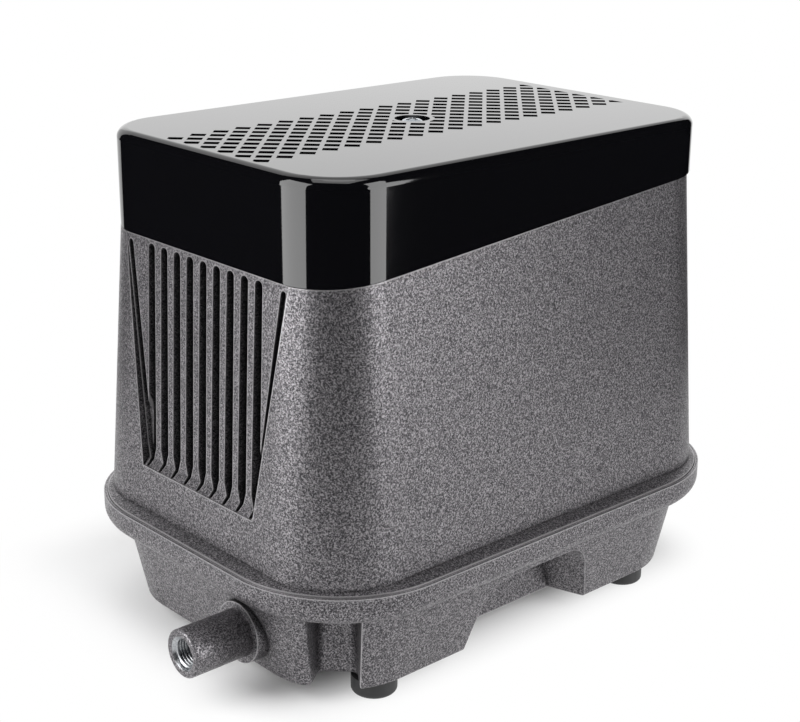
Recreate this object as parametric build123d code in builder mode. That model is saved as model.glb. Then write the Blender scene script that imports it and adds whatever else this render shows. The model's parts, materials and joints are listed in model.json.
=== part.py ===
from build123d import *
import os
from math import atan, atan2, cos, degrees, hypot, radians, sin, tan

# Diaphragm air pump of the linear kind: a sprung magnet block between two coils
# drives a rubber diaphragm at each end. The air goes from the filter under the
# lid into the casing, through the valve heads, down into the tank in the base
# and out of the spigot at the front.
# Millimetres. The floor is Z = 0, the front with the outlet faces -Y, and the
# origin is on the floor below the middle of the casing.

# Lid
lid_width = 152.0
lid_length = 218.0
lid_corner_radius = 27.0
lid_height = 214.4
lid_edge_radius = 4.2
lid_wall = 3.0
lid_boss_radius = 9.5
lid_screw_pocket_radius = 7.5
lid_screw_pocket_depth = 6.4

# Grille of the lid: short slots on a lattice turned by 45 degrees
slot_length = 6.0
slot_width = 4.6
slot_pitch = 7.8
grille_width = 56.0
grille_front = -103.5
grille_rear = 98.5

# The parting line between lid and housing falls towards the front
parting_height = 182.1
parting_angle = 4.63
seam_gap = 0.3
lid_overhang = 0.6
lip_height = 3.5
lip_gap = 0.5

# Housing, a drafted casting with a flange at its foot
housing_draft = 4.18
housing_wall = 5.0
seam_height = 56.5
flange_reach = 7.8
flange_edge = 0.6
flange_rise = 2.1
flange_corner_radius = 52.9
deck_height = 168.0
deck_thickness = 5.0
lid_post_radius = 9.0
lid_post_height = 15.7
lid_post_floor = 2.0
intake_hole_radius = 4.5
intake_spacing_x = 50.0
intake_spacing_y = 44.0

# Fluted panel in the front of the housing. It is steeper than the wall round it,
# so it sinks in towards its sloping sill, and its flutes get deeper downwards.
panel_top_half_width = 53.0
panel_bottom_half_width = 37.5
panel_bottom = 77.0
panel_draft = 2.5
panel_top_depth = 0.4
panel_sill = 3.0
panel_sill_angle = 45.0
panel_backing = 3.0
flute_count = 9
flute_pitch = 8.8
flute_floor_width = 3.6
flute_draft = 1.0
flute_top_depth = 3.0
flute_side_angle = 10.0
flute_point = 6.0
flute_rounding = 1.6
flute_gap_at_lid = 2.1
flute_gap_at_sill = 2.3
edge_flute_width = 2.6
edge_flute_depth = 2.0
edge_flute_inset = 2.4
edge_flute_length = 87.0

# Base casting, which is also the air tank
base_bottom = 7.8
rim_depth = 11.2
rim_inset = 9.4
rim_edge_radius = 6.0
rim_lip = 1.4
base_draft = 12.0
base_edge_radius = 2.0
gasket_thickness = 1.0
face_tolerance = 0.01
tank_floor = 5.2
tank_ledge_height = 46.0
tank_ledge_width = 8.0
tank_opening_width = 152.0
tank_opening_length = 217.0
tank_wall = 4.0
grip_back = 58.0
grip_width = 66.0
grip_top_width = 48.0
grip_height = 23.2
grip_corner_radius = 8.0
grip_splay = 16.0
grip_margin = 5.0

# Screws that hold the housing on the base, from below in the corner pockets
case_screw_reach = 14.7
case_screw_radius = 2.5
case_screw_head_radius = 4.75
case_screw_head_height = 3.5
case_boss_radius = 8.0
case_boss_height = 22.0
case_web = 6.0
case_web_gap = 2.0
case_boss_gap = 1.0
case_bore_end = 3.0
pocket_half_width = 7.5
pocket_mouth_half_width = 13.0
pocket_back = 6.5
pocket_reach = 24.0
pocket_inner_radius = 4.5
pocket_edge_radius = 3.5
thread_clearance = 0.05
thread_runout = 1.0
screw_clearance = 0.25

# Outlet spigot in the front of the base, with a G 1/4 female thread
outlet_x = 27.2
outlet_height = 25.4
outlet_radius = 10.0
outlet_tip = 143.8
outlet_boss_radius = 13.0
outlet_boss_face = 116.8
outlet_thread_radius = 5.72
outlet_thread_length = 15.0
outlet_bore_radius = 4.5
outlet_neck_radius = 9.0
outlet_edge_radius = 0.8

# Feet
foot_x = 63.4
foot_y = 76.0
foot_radius = 9.5
foot_edge_radius = 2.0
foot_recess_radius = 4.6
foot_recess_depth = 4.4
foot_screw_radius = 2.0
foot_screw_head_radius = 4.0
foot_screw_head_height = 2.6
foot_screw_grip = 10.0

# Cable grommet in the rear of the housing
grommet_x = -35.0
grommet_height = 86.0
grommet_bore_radius = 3.6
grommet_neck_radius = 7.5
grommet_flange_radius = 10.5
grommet_flange = 2.5
grommet_nose = 9.0
grommet_nose_radius = 5.6
grommet_boss_radius = 14.0
grommet_boss_height = 1.0

# Tank cover, its gasket and its screws
tank_plate_thickness = 3.0
tank_screw_radius = 2.0
tank_screw_head_radius = 3.6
tank_screw_head_height = 2.4
tank_screw_length = 11.0
tank_screw_spread = 0.45

# Rubber buffers under the pump frame
buffer_x = 46.0
buffer_y = 42.5
buffer_radius = 9.0
buffer_waist_radius = 7.0
buffer_height = 12.0
buffer_bolt_radius = 2.5
buffer_bolt_head_radius = 4.25
buffer_bolt_head_height = 3.5
buffer_boss_height = 5.0
buffer_boss_floor = 1.0

# Drive: two E cores with a coil each, and the magnet block between them
pump_height = 114.0
core_gap = 16.0
core_depth = 40.0
core_back = 12.0
core_leg = 14.0
core_middle_leg = 24.0
core_stack = 40.0
core_bolt_radius = 2.5
core_bolt_spread = 10.0
core_bolt_head_radius = 4.25
core_bolt_head_height = 3.5
frame_plate_thickness = 6.0
frame_plate_width = 124.0
frame_plate_bottom = 62.0
frame_plate_top = 160.0
frame_foot_length = 18.0
frame_foot_thickness = 5.0
frame_opening_radius = 24.0
frame_corner_radius = 6.0
bobbin_wall = 1.5
bobbin_flange = 2.0
bobbin_gap = 0.3
bobbin_recess = 1.0
bobbin_end_gap = 0.2
bobbin_corner_radius = 2.0
bobbin_flange_corner_radius = 4.0
winding_corner_radius = 8.0
winding_height = 17.0
window_spare = 2.9
winding_length_gap = 0.6
stroke = 3.0
magnet_width = 25.0
magnet_length = 28.0
magnet_height = 33.0
magnet_offset = 22.0
carrier_length = 88.0
carrier_width = 26.0
carrier_height = 40.0
carrier_edge_radius = 3.0

# Diaphragms, valve heads and their covers
head_radius = 42.0
chamber_radius = 33.0
ring_length = 10.0
diaphragm_thickness = 2.5
convolution_radius = 3.0
head_length = 18.5
chamber_depth = 12.0
cover_length = 11.5
cover_wall = 3.0
stud_radius = 5.0
stud_neck_radius = 3.0
stud_anchor = 6.0
clamp_radius = 22.0
clamp_thickness = 3.0
nut_radius = 5.6
nut_height = 4.5
stud_protrusion = 0.5
head_screw_count = 6
head_screw_circle = 37.5
head_screw_radius = 2.0
head_screw_head_radius = 3.5
head_screw_head_height = 2.6
port_radius = 5.0
port_offset = 18.0
flap_width = 16.0
flap_length = 18.0
flap_thickness = 1.2
flap_gap = 0.1
flap_pin_radius = 0.8
flap_pin_clearance = 0.05
flap_knuckle_radius = 1.6
lug_width = 2.4
lug_gap = 0.6
spigot_radius = 5.5
spigot_bore_radius = 3.5
spigot_length = 8.0
spigot_root = 4.0
intake_slot_length = 26.0
intake_slot_width = 6.0
hose_radius = 8.0
hose_gap = 1.0
clip_radius = 9.5
clip_width = 5.0
clip_margin = 1.0

# Electrical pieces
terminal_length = 32.0
terminal_width = 16.0
terminal_height = 14.0
terminal_x = -52.0
terminal_y = 8.0
terminal_pole_pitch = 10.0
terminal_hole_radius = 2.6
earth_x = 54.0
protector_width = 9.0
protector_length = 18.0
protector_height = 4.0
lid_screw_radius = 2.5
lid_screw_head_radius = 4.6
lid_screw_head_height = 3.4
lid_screw_gap = 0.3
lid_screw_engagement = 20.0

# Filter
filter_width = 124.0
filter_length = 196.0
filter_height = 14.0
filter_hole_gap = 1.0

# Sizes worked out from the ones above
parting_slope = tan(radians(parting_angle))
draft_slope = tan(radians(housing_draft))
base_top = seam_height - gasket_thickness
rim_bottom = base_top - rim_depth
flange_inset = rim_lip + seam_gap
pump_axis = Axis((0, 0, pump_height), (0, 1, 0))
core_window = winding_height + bobbin_wall + 2 * bobbin_gap + window_spare
core_length = 2 * core_leg + core_middle_leg + 2 * core_window
frame_inner = core_length / 2
frame_outer = frame_inner + frame_plate_thickness
diaphragm_start = frame_outer + ring_length
diaphragm_end = diaphragm_start + diaphragm_thickness
port_wall_start = diaphragm_end + chamber_depth
head_end = diaphragm_end + head_length
cover_end = head_end + cover_length
spigot_y = (head_end + cover_end) / 2
tank_plate_bottom = tank_ledge_height + gasket_thickness
tank_plate_top = tank_plate_bottom + tank_plate_thickness
flap_drop = flap_knuckle_radius + flap_gap
suction_hinge_y = port_wall_start - flap_drop
suction_hinge_z = pump_height + port_offset + flap_length / 2
discharge_hinge_y = head_end + flap_drop
discharge_hinge_z = pump_height - port_offset + flap_length / 2


def housing_half(height):
    """Half width, half length and corner radius of the drafted housing at a height."""
    spread = (parting_height - height) * draft_slope - lid_overhang
    return lid_width / 2 + spread, lid_length / 2 + spread, lid_corner_radius + spread


def base_half(height):
    """Half width, half length and corner radius of the base wall at a height."""
    half_x, half_y, _ = housing_half(seam_height)
    spread = flange_reach - rim_inset - (rim_bottom - height) * tan(radians(base_draft))
    return half_x + spread, half_y + spread, flange_corner_radius - flange_reach + spread


def block(outline, low, high, mode=Mode.ADD, inset=0.0, taper=0.0):
    """Raises a rounded rectangle, given by its half sizes and radius, from low to high."""
    half_x, half_y, radius = (size - inset for size in outline)
    with BuildSketch(Plane.XY.offset(low)) as section:
        RectangleRounded(2 * half_x, 2 * half_y, radius)
    extrude(section.sketch, amount=high - low, taper=taper, mode=mode)


def column(x, y, low, high, radius, mode=Mode.ADD):
    """Raises an upright round column from low to high."""
    with BuildSketch(Plane.XY.offset(low)) as section:
        with Locations((x, y)):
            Circle(radius)
    extrude(section.sketch, amount=high - low, mode=mode)


def across(y):
    """Upright plane across the pump at y, looking forward, with its centre on the pump axis."""
    return Plane(origin=(0, y, pump_height), x_dir=(-1, 0, 0), z_dir=(0, 1, 0))


def disc(start, end, radius, mode=Mode.ADD):
    """Makes a disc round the pump axis, from start to end along Y."""
    with BuildSketch(across(start)) as section:
        Circle(radius)
    extrude(section.sketch, amount=end - start, mode=mode)


def pan_screw(radius, length, head_radius, head_height):
    """Pan head screw whose shank goes up from the origin and whose head hangs below it."""
    with BuildPart() as screw:
        column(0, 0, 0, length, radius)
        column(0, 0, -head_height, 0, head_radius)
        fillet(screw.faces().sort_by(Axis.Z)[0].edges(), radius=head_height * 0.4)
        with BuildSketch(Plane.XY.offset(-head_height)):
            Rectangle(head_radius, head_radius * 0.2)
            Rectangle(head_radius * 0.2, head_radius)
        extrude(amount=head_height * 0.5, mode=Mode.SUBTRACT)
    return screw.part


seam_half = housing_half(seam_height)
rim_half = (seam_half[0] + flange_reach, seam_half[1] + flange_reach, flange_corner_radius)
corner_x = seam_half[0] - seam_half[2]
corner_y = seam_half[1] - seam_half[2]
case_screw_x = corner_x + case_screw_reach * cos(radians(45))
case_screw_y = corner_y + case_screw_reach * sin(radians(45))
case_screw_places = GridLocations(2 * case_screw_x, 2 * case_screw_y, 2, 2)
corner_planes = [
    Plane(origin=(right * case_screw_x, rear * case_screw_y, 0), x_dir=(right, rear, 0))
    for right in (-1, 1)
    for rear in (-1, 1)
]
parting = Plane(
    origin=(0, 0, parting_height),
    x_dir=(1, 0, 0),
    z_dir=(0, -sin(radians(parting_angle)), cos(radians(parting_angle))),
)
lip_outline = (
    lid_width / 2 - lid_wall - lip_gap,
    lid_length / 2 - lid_wall - lip_gap,
    lid_corner_radius - lid_wall - lip_gap,
)
lid_outline = (lid_width / 2, lid_length / 2, lid_corner_radius)

os.makedirs("parts", exist_ok=True)

# Lid: a shell cut along the sloping parting line, with the grille in its top
lowest_parting = parting_height - parting_slope * lid_length / 2
screw_seat = lid_height - lid_screw_pocket_depth
post_top = deck_height + lid_post_height
lattice_step = slot_pitch * cos(radians(45))
rows = int(grille_width / lattice_step)
columns = int((grille_rear - grille_front) / lattice_step)
slot_places = [
    Location(((row - rows // 2) * lattice_step, grille_front + (column + 0.5) * lattice_step, 0), 45)
    for row in range(rows + 1)
    for column in range(columns + 1)
    if (row + column) % 2 == 0
]
with BuildPart() as lid:
    block(lid_outline, lowest_parting, lid_height)
    fillet(lid.faces().sort_by(Axis.Z)[-1].edges(), radius=lid_edge_radius)
    block(lid_outline, lowest_parting, lid_height - lid_wall, Mode.SUBTRACT, lid_wall)
    with BuildSketch(Plane.XY.offset(lid_height)) as grille:
        with Locations(*slot_places):
            Rectangle(slot_length, slot_width)
        with Locations((0, (grille_front + grille_rear) / 2)):
            Rectangle(lid_width, grille_rear - grille_front, mode=Mode.INTERSECT)
        Circle(lid_boss_radius, mode=Mode.SUBTRACT)
    extrude(amount=-2 * lid_wall, mode=Mode.SUBTRACT)
    column(0, 0, post_top + seam_gap, lid_height - lid_wall, lid_boss_radius)
    column(0, 0, screw_seat, lid_height, lid_screw_pocket_radius, Mode.SUBTRACT)
    column(0, 0, post_top, screw_seat, lid_screw_radius + lid_screw_gap, Mode.SUBTRACT)
    split(bisect_by=parting.offset(seam_gap), keep=Keep.TOP)

# Screw of the lid, whose head lies in the pocket
with BuildPart() as lid_screw:
    with Locations(Location((0, 0, screw_seat + lid_screw_gap), (180, 0, 0))):
        add(
            pan_screw(
                lid_screw_radius,
                screw_seat - post_top + lid_screw_engagement,
                lid_screw_head_radius,
                lid_screw_head_height,
            )
        )

# Housing: drafted shell with a deck under the lid and a flange on the seam
shell_top = parting_height + parting_slope * lid_length / 2 + lip_height
deck_bottom = deck_height - deck_thickness
well_outline = housing_half(deck_height)
panel_top = lowest_parting
panel_height = panel_top - panel_bottom
panel_front = panel_top_depth - housing_half(panel_top)[1]
flute_front = panel_front + flute_top_depth
panel_plane = Plane(
    origin=(0, panel_front, panel_top),
    x_dir=(1, 0, 0),
    z_dir=(0, -cos(radians(panel_draft)), sin(radians(panel_draft))),
)
flute_plane = Plane(
    origin=(0, flute_front, panel_top),
    x_dir=(1, 0, 0),
    z_dir=(0, -cos(radians(flute_draft)), sin(radians(flute_draft))),
)
sill_top = panel_bottom + panel_sill
sill_plane = Plane(
    origin=(0, panel_front - (panel_top - sill_top) * tan(radians(panel_draft)), sill_top),
    x_dir=(1, 0, 0),
    z_dir=(0, -sin(radians(panel_sill_angle)), cos(radians(panel_sill_angle))),
)
border_slope = (panel_top_half_width - panel_bottom_half_width) / panel_height
rear_boss_face = housing_half(grommet_height - grommet_boss_radius)[1] + grommet_boss_height
rear_wall_inner = housing_half(grommet_height)[1] - housing_wall

with BuildPart() as rabbet:
    with BuildSketch(parting):
        Rectangle(2 * lid_width, 2 * lid_length)
    extrude(amount=lid_height)
    block(lip_outline, 0, 2 * lid_height, Mode.SUBTRACT)

# What the fluted panel takes out of the front, as one piece
with BuildPart() as panel_cut:
    with BuildSketch(panel_plane):
        Rectangle(lid_width, 2 * panel_height)
    extrude(amount=panel_height)
    split(bisect_by=sill_plane, keep=Keep.TOP)
    with BuildSketch(flute_plane):
        with BuildSketch(Plane.XY, mode=Mode.PRIVATE) as flute:
            half = flute_floor_width / 2
            low = flute_gap_at_sill - panel_height
            Polygon(
                (-half, -flute_gap_at_lid),
                (-half, low + flute_point),
                (0, low),
                (half, low + flute_point),
                (half, -flute_gap_at_lid),
                align=None,
            )
            fillet(flute.vertices().sort_by(Axis.Y)[-2:], radius=flute_rounding)
        with GridLocations(flute_pitch, 0, flute_count, 1):
            add(flute.sketch)
    extrude(amount=flute_top_depth + flute_pitch, taper=-flute_side_angle)
    with BuildSketch(panel_plane.offset(-edge_flute_depth)):
        for side in (-1, 1):
            with Locations(
                Location(
                    (
                        side * (panel_top_half_width - edge_flute_inset
                                - border_slope * (flute_gap_at_lid + edge_flute_length / 2)),
                        -flute_gap_at_lid - edge_flute_length / 2,
                        0,
                    ),
                    side * -degrees(atan(border_slope)),
                )
            ):
                SlotOverall(edge_flute_length, edge_flute_width, rotation=90)
    extrude(amount=edge_flute_depth + flute_pitch, taper=-flute_side_angle)
    with BuildSketch(panel_plane.offset(-panel_height)):
        Polygon(
            (-panel_bottom_half_width, -panel_height),
            (panel_bottom_half_width, -panel_height),
            (panel_top_half_width, 0),
            (panel_top_half_width, lip_height),
            (-panel_top_half_width, lip_height),
            (-panel_top_half_width, 0),
            align=None,
        )
    extrude(amount=2 * panel_height, mode=Mode.INTERSECT)

# Room inside the housing, below and above the deck, which leaves the panel its backing
with BuildPart() as housing_space:
    block(seam_half, seam_height, deck_bottom, inset=housing_wall, taper=housing_draft)
    block(well_outline, deck_height, shell_top, inset=housing_wall, taper=housing_draft)
    with BuildSketch(flute_plane.offset(-panel_backing)):
        with Locations((0, -panel_height / 2)):
            Rectangle(2 * panel_top_half_width, panel_height)
    extrude(amount=panel_height, mode=Mode.SUBTRACT)

with BuildPart() as housing:
    block(seam_half, seam_height, shell_top, taper=housing_draft)
    block(rim_half, seam_height, seam_height + flange_edge, inset=flange_inset)
    block(
        rim_half,
        seam_height + flange_edge,
        seam_height + flange_rise,
        inset=flange_inset,
        taper=degrees(atan2(flange_reach - flange_inset, flange_rise - flange_edge)),
    )
    add(housing_space.part, mode=Mode.SUBTRACT)
    add(rabbet.part, mode=Mode.SUBTRACT)
    split(bisect_by=parting.offset(lip_height), keep=Keep.BOTTOM)
    column(0, 0, deck_bottom, post_top, lid_post_radius)
    column(0, 0, post_top - lid_screw_engagement - lid_post_floor, deck_height, lid_post_radius)
    for plane in corner_planes:
        with BuildSketch(plane.offset(seam_height)):
            Circle(case_boss_radius)
        extrude(amount=case_boss_height)
        web_reach = seam_half[2] - housing_wall / 2 - case_screw_reach
        with BuildSketch(plane.offset(seam_height)):
            with Locations(((web_reach - case_web_gap) / 2, 0)):
                Rectangle(web_reach - case_web_gap, case_web)
        extrude(amount=case_boss_height)
    with BuildSketch(Plane.XZ.offset(-rear_wall_inner)):
        with Locations((grommet_x, grommet_height)):
            Circle(grommet_boss_radius)
    extrude(amount=-(rear_boss_face - rear_wall_inner))
    # Holes
    with BuildSketch(Plane.XZ.offset(-rear_wall_inner + housing_wall)):
        with Locations((grommet_x, grommet_height)):
            Circle(grommet_neck_radius)
    extrude(amount=-3 * housing_wall, mode=Mode.SUBTRACT)
    with BuildSketch(Plane.XZ.offset(-rear_wall_inner)):
        with Locations((grommet_x, grommet_height)):
            Circle(grommet_flange_radius + lip_gap)
    extrude(amount=housing_wall, mode=Mode.SUBTRACT)
    column(0, 0, 0, lid_height, lid_screw_radius + lid_screw_gap, Mode.SUBTRACT)
    with BuildSketch(Plane.XY.offset(deck_height)):
        with GridLocations(intake_spacing_x, intake_spacing_y, 2, 4):
            Circle(intake_hole_radius)
    extrude(amount=-deck_thickness, mode=Mode.SUBTRACT)
    with BuildSketch(Plane.XY.offset(seam_height)):
        with case_screw_places:
            Circle(case_screw_radius + thread_clearance)
    extrude(amount=case_boss_height - case_bore_end, mode=Mode.SUBTRACT)
    add(panel_cut.part, mode=Mode.SUBTRACT)

# Flat gasket on the seam
with BuildPart() as case_gasket:
    block(rim_half, base_top, seam_height, inset=flange_inset)
    with BuildSketch(Plane.XY.offset(base_top)):
        RectangleRounded(
            2 * (seam_half[0] - housing_wall),
            2 * (seam_half[1] - housing_wall),
            seam_half[2] - housing_wall,
        )
    extrude(amount=gasket_thickness, mode=Mode.SUBTRACT)
    for plane in corner_planes:
        with BuildSketch(plane.offset(base_top)):
            Circle(case_boss_radius)
            with Locations((case_boss_radius, 0)):
                Rectangle(2 * case_boss_radius + case_web, case_web)
        extrude(amount=gasket_thickness)
    with BuildSketch(Plane.XY.offset(base_top)):
        with case_screw_places:
            Circle(case_screw_radius + screw_clearance)
    extrude(amount=gasket_thickness, mode=Mode.SUBTRACT)


def tank_outline(inset):
    """Outline of the tank opening, with its corners cut off beside the case screws."""
    with BuildSketch(Plane.XY) as outline:
        rectangle = Rectangle(tank_opening_width, tank_opening_length)
        cut = tank_opening_width / 2 + tank_opening_length / 2 - case_screw_x - case_screw_y
        chamfer(rectangle.vertices(), length=cut + (case_boss_radius + case_boss_gap) / cos(radians(45)))
        if inset:
            offset(amount=-inset, kind=Kind.INTERSECTION)
    return outline.sketch


tank_bottom = base_bottom + tank_floor
tank_screw_x = tank_opening_width / 2 - tank_ledge_width / 2
tank_screw_y = tank_opening_length / 2 - tank_ledge_width / 2
tank_screw_places = [
    place
    for grid in (
        GridLocations(2 * tank_screw_x, tank_screw_spread * tank_opening_length, 2, 2),
        GridLocations(tank_screw_spread * tank_opening_width / 2, 2 * tank_screw_y, 2, 2),
    )
    for place in grid
]
foot_places = GridLocations(2 * foot_x, 2 * foot_y, 2, 2)

# Room inside the tank, which leaves walls round the hand grips and the foot screws
with BuildPart() as tank_space:
    with BuildSketch(Plane.XY.offset(tank_bottom)):
        add(tank_outline(tank_ledge_width))
    extrude(amount=tank_ledge_height - tank_bottom)
    with BuildSketch(Plane.XY.offset(tank_ledge_height)):
        add(tank_outline(0))
    extrude(amount=base_top - tank_ledge_height)
    grip_inner = grip_back - tank_wall
    for side in (-1, 1):
        with Locations((side * (grip_inner + lid_width / 2), 0, base_bottom)):
            Box(
                lid_width,
                grip_width + 2 * (tank_wall + grip_margin),
                2 * (grip_height + tank_wall),
                mode=Mode.SUBTRACT,
            )
    with foot_places:
        Cylinder(foot_screw_radius + tank_wall, 2 * (base_bottom + foot_screw_grip + tank_wall),
                 mode=Mode.SUBTRACT)

base_foot = base_half(base_bottom)
outlet_plane = Plane(
    origin=(0, -outlet_boss_face, outlet_height), x_dir=(1, 0, 0), z_dir=(0, -1, 0)
)
with BuildPart() as base:
    block(base_foot, base_bottom, rim_bottom + rim_depth / 2, taper=-base_draft)
    block(rim_half, rim_bottom, seam_height)
    block(rim_half, base_top, seam_height, Mode.SUBTRACT, rim_lip)
    rim_face = base.faces().filter_by(Axis.Z).filter_by(
        lambda face: abs(face.center().Z - rim_bottom) < face_tolerance
    ).sort_by(SortBy.AREA)[-1]
    fillet(rim_face.outer_wire().edges(), radius=rim_edge_radius)
    # Pockets in the corners, rounded like the rest of the casting
    for plane in corner_planes:
        with BuildSketch(plane):
            pocket = Polygon(
                (-pocket_back, -pocket_half_width),
                (pocket_reach, -pocket_mouth_half_width),
                (pocket_reach, pocket_mouth_half_width),
                (-pocket_back, pocket_half_width),
                align=None,
            )
            fillet(
                pocket.vertices().sort_by_distance((0, 0, 0))[:2],
                radius=pocket_inner_radius,
            )
        extrude(amount=rim_bottom, mode=Mode.SUBTRACT)
    tall_edges = base.edges().filter_by(lambda edge: edge.bounding_box().size.Z > grip_height)
    mouth_edges = tall_edges.sort_by(lambda edge: hypot(edge.center().X, edge.center().Y))
    fillet(mouth_edges[-2 * len(corner_planes):], radius=pocket_edge_radius)
    fillet(base.faces().sort_by(Axis.Z)[0].edges(), radius=base_edge_radius)
    add(tank_space.part, mode=Mode.SUBTRACT)
    with BuildSketch(outlet_plane):
        with Locations((outlet_x, 0)):
            Circle(outlet_boss_radius)
    extrude(amount=-(outlet_boss_face - tank_opening_length / 2 + tank_ledge_width))
    # Hand grips in the long sides
    for side in (-1, 1):
        grip_plane = Plane(
            origin=(side * grip_back, 0, base_bottom), x_dir=(0, 1, 0), z_dir=(side, 0, 0)
        )
        with BuildSketch(grip_plane):
            grip = Polygon(
                (-grip_width / 2, -side * base_edge_radius),
                (grip_width / 2, -side * base_edge_radius),
                (grip_top_width / 2, side * grip_height),
                (-grip_top_width / 2, side * grip_height),
                align=None,
            )
            fillet(grip.vertices().sort_by(Axis.Z)[-2:], radius=grip_corner_radius)
        extrude(amount=rim_half[0] - grip_back, taper=-grip_splay, mode=Mode.SUBTRACT)
    # Bores for the case screws, the spigot and the other screws
    with BuildSketch(Plane.XY.offset(rim_bottom)):
        with case_screw_places:
            Circle(case_screw_radius + screw_clearance)
    extrude(amount=rim_depth, mode=Mode.SUBTRACT)
    with BuildSketch(outlet_plane):
        with Locations((outlet_x, 0)):
            Circle(outlet_neck_radius)
    extrude(amount=-(outlet_boss_face - tank_opening_length / 2 + tank_ledge_width), mode=Mode.SUBTRACT)
    with BuildSketch(Plane.XY.offset(base_bottom)):
        with foot_places:
            Circle(foot_screw_radius + thread_clearance)
    extrude(amount=foot_screw_grip + thread_runout, mode=Mode.SUBTRACT)
    with BuildSketch(Plane.XY.offset(tank_ledge_height)):
        with Locations(*tank_screw_places):
            Circle(tank_screw_radius + thread_clearance)
    extrude(amount=tank_plate_top - tank_screw_length - thread_runout - tank_ledge_height, mode=Mode.SUBTRACT)

# Screws that hold the housing on the base
case_screw = pan_screw(
    case_screw_radius,
    seam_height + case_boss_height - case_bore_end - thread_runout - rim_bottom,
    case_screw_head_radius,
    case_screw_head_height,
)
with BuildPart() as case_screws:
    with case_screw_places:
        with Locations((0, 0, rim_bottom)):
            add(case_screw)

# Outlet spigot, bored through to the tank
tank_front = tank_opening_length / 2 - tank_ledge_width
with BuildPart() as outlet_spigot:
    with BuildSketch(outlet_plane):
        with Locations((outlet_x, 0)):
            Circle(outlet_radius)
    extrude(amount=outlet_tip - outlet_boss_face)
    with BuildSketch(outlet_plane):
        with Locations((outlet_x, 0)):
            Circle(outlet_neck_radius)
    extrude(amount=-(outlet_boss_face - tank_front))
    fillet(outlet_spigot.faces().sort_by(Axis.Y)[0].edges(), radius=outlet_edge_radius)
    with BuildSketch(outlet_plane):
        with Locations((outlet_x, 0)):
            Circle(outlet_bore_radius)
    extrude(amount=outlet_tip, both=True, mode=Mode.SUBTRACT)
    with BuildSketch(outlet_plane.offset(outlet_tip - outlet_boss_face)):
        with Locations((outlet_x, 0)):
            Circle(outlet_thread_radius)
    extrude(amount=-outlet_thread_length, mode=Mode.SUBTRACT)

# Rubber feet and their screws
with BuildPart() as foot:
    column(0, 0, 0, base_bottom, foot_radius)
    fillet(foot.faces().sort_by(Axis.Z)[0].edges(), radius=foot_edge_radius)
    column(0, 0, 0, foot_recess_depth, foot_recess_radius, Mode.SUBTRACT)
    column(0, 0, 0, base_bottom, foot_screw_radius + screw_clearance, Mode.SUBTRACT)
with BuildPart() as feet:
    with foot_places:
        add(foot.part)
foot_screw = pan_screw(
    foot_screw_radius,
    base_bottom + foot_screw_grip - foot_recess_depth,
    foot_screw_head_radius,
    foot_screw_head_height,
)
with BuildPart() as foot_screws:
    with foot_places:
        with Locations((0, 0, foot_recess_depth)):
            add(foot_screw)

# Rubber grommet for the supply cable: flange, neck through the wall, flange and nose
grommet_start = rear_wall_inner - grommet_flange
with BuildPart() as cable_grommet:
    with BuildSketch(Plane.YZ.offset(grommet_x)):
        with BuildLine():
            Polyline(
                (grommet_start, grommet_height + grommet_bore_radius),
                (grommet_start, grommet_height + grommet_flange_radius),
                (rear_wall_inner, grommet_height + grommet_flange_radius),
                (rear_wall_inner, grommet_height + grommet_neck_radius),
                (rear_boss_face, grommet_height + grommet_neck_radius),
                (rear_boss_face, grommet_height + grommet_flange_radius),
                (rear_boss_face + grommet_flange, grommet_height + grommet_flange_radius),
                (rear_boss_face + grommet_nose, grommet_height + grommet_nose_radius),
                (rear_boss_face + grommet_nose, grommet_height + grommet_bore_radius),
                close=True,
            )
        make_face()
    revolve(axis=Axis((grommet_x, 0, grommet_height), (0, 1, 0)))

# Foam filter on the deck, with a hole for the post of the lid screw
with BuildPart() as filter_foam:
    with BuildSketch(Plane.XY.offset(deck_height)):
        RectangleRounded(filter_width, filter_length, lid_corner_radius / 2)
        Circle(lid_post_radius + filter_hole_gap, mode=Mode.SUBTRACT)
    extrude(amount=filter_height)

# Tank cover with its gasket and screws
buffer_places = GridLocations(2 * buffer_x, 2 * buffer_y, 2, 2)
buffer_top = tank_plate_top + buffer_height
tank_screw_offset = Location((0, 0, tank_plate_top), (180, 0, 0))

with BuildPart() as tank_gasket:
    with BuildSketch(Plane.XY.offset(tank_ledge_height)):
        add(tank_outline(seam_gap))
        add(tank_outline(tank_ledge_width), mode=Mode.SUBTRACT)
        with Locations(*tank_screw_places):
            Circle(tank_screw_radius + screw_clearance, mode=Mode.SUBTRACT)
    extrude(amount=gasket_thickness)

with BuildPart() as tank_plate:
    with BuildSketch(Plane.XY.offset(tank_plate_bottom)):
        add(tank_outline(seam_gap))
    extrude(amount=tank_plate_thickness)
    for x, y in ((place.position.X, place.position.Y) for place in buffer_places):
        column(x, y, tank_plate_bottom - buffer_boss_height, tank_plate_bottom, buffer_radius)
        column(
            x, y, tank_plate_bottom - buffer_boss_height + buffer_boss_floor, tank_plate_top,
            buffer_bolt_radius + thread_clearance, Mode.SUBTRACT,
        )
    for end in (-1, 1):
        column(0, end * spigot_y, tank_plate_top, tank_plate_top + spigot_length, spigot_radius)
        column(0, end * spigot_y, 0, lid_height, spigot_bore_radius, Mode.SUBTRACT)
    with BuildSketch(Plane.XY.offset(tank_plate_bottom)):
        with Locations(*tank_screw_places):
            Circle(tank_screw_radius + screw_clearance)
    extrude(amount=tank_plate_thickness, mode=Mode.SUBTRACT)

tank_screw = pan_screw(
    tank_screw_radius, tank_screw_length, tank_screw_head_radius, tank_screw_head_height
)
with BuildPart() as tank_screws:
    with Locations(*tank_screw_places):
        with Locations(tank_screw_offset):
            add(tank_screw)

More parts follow.
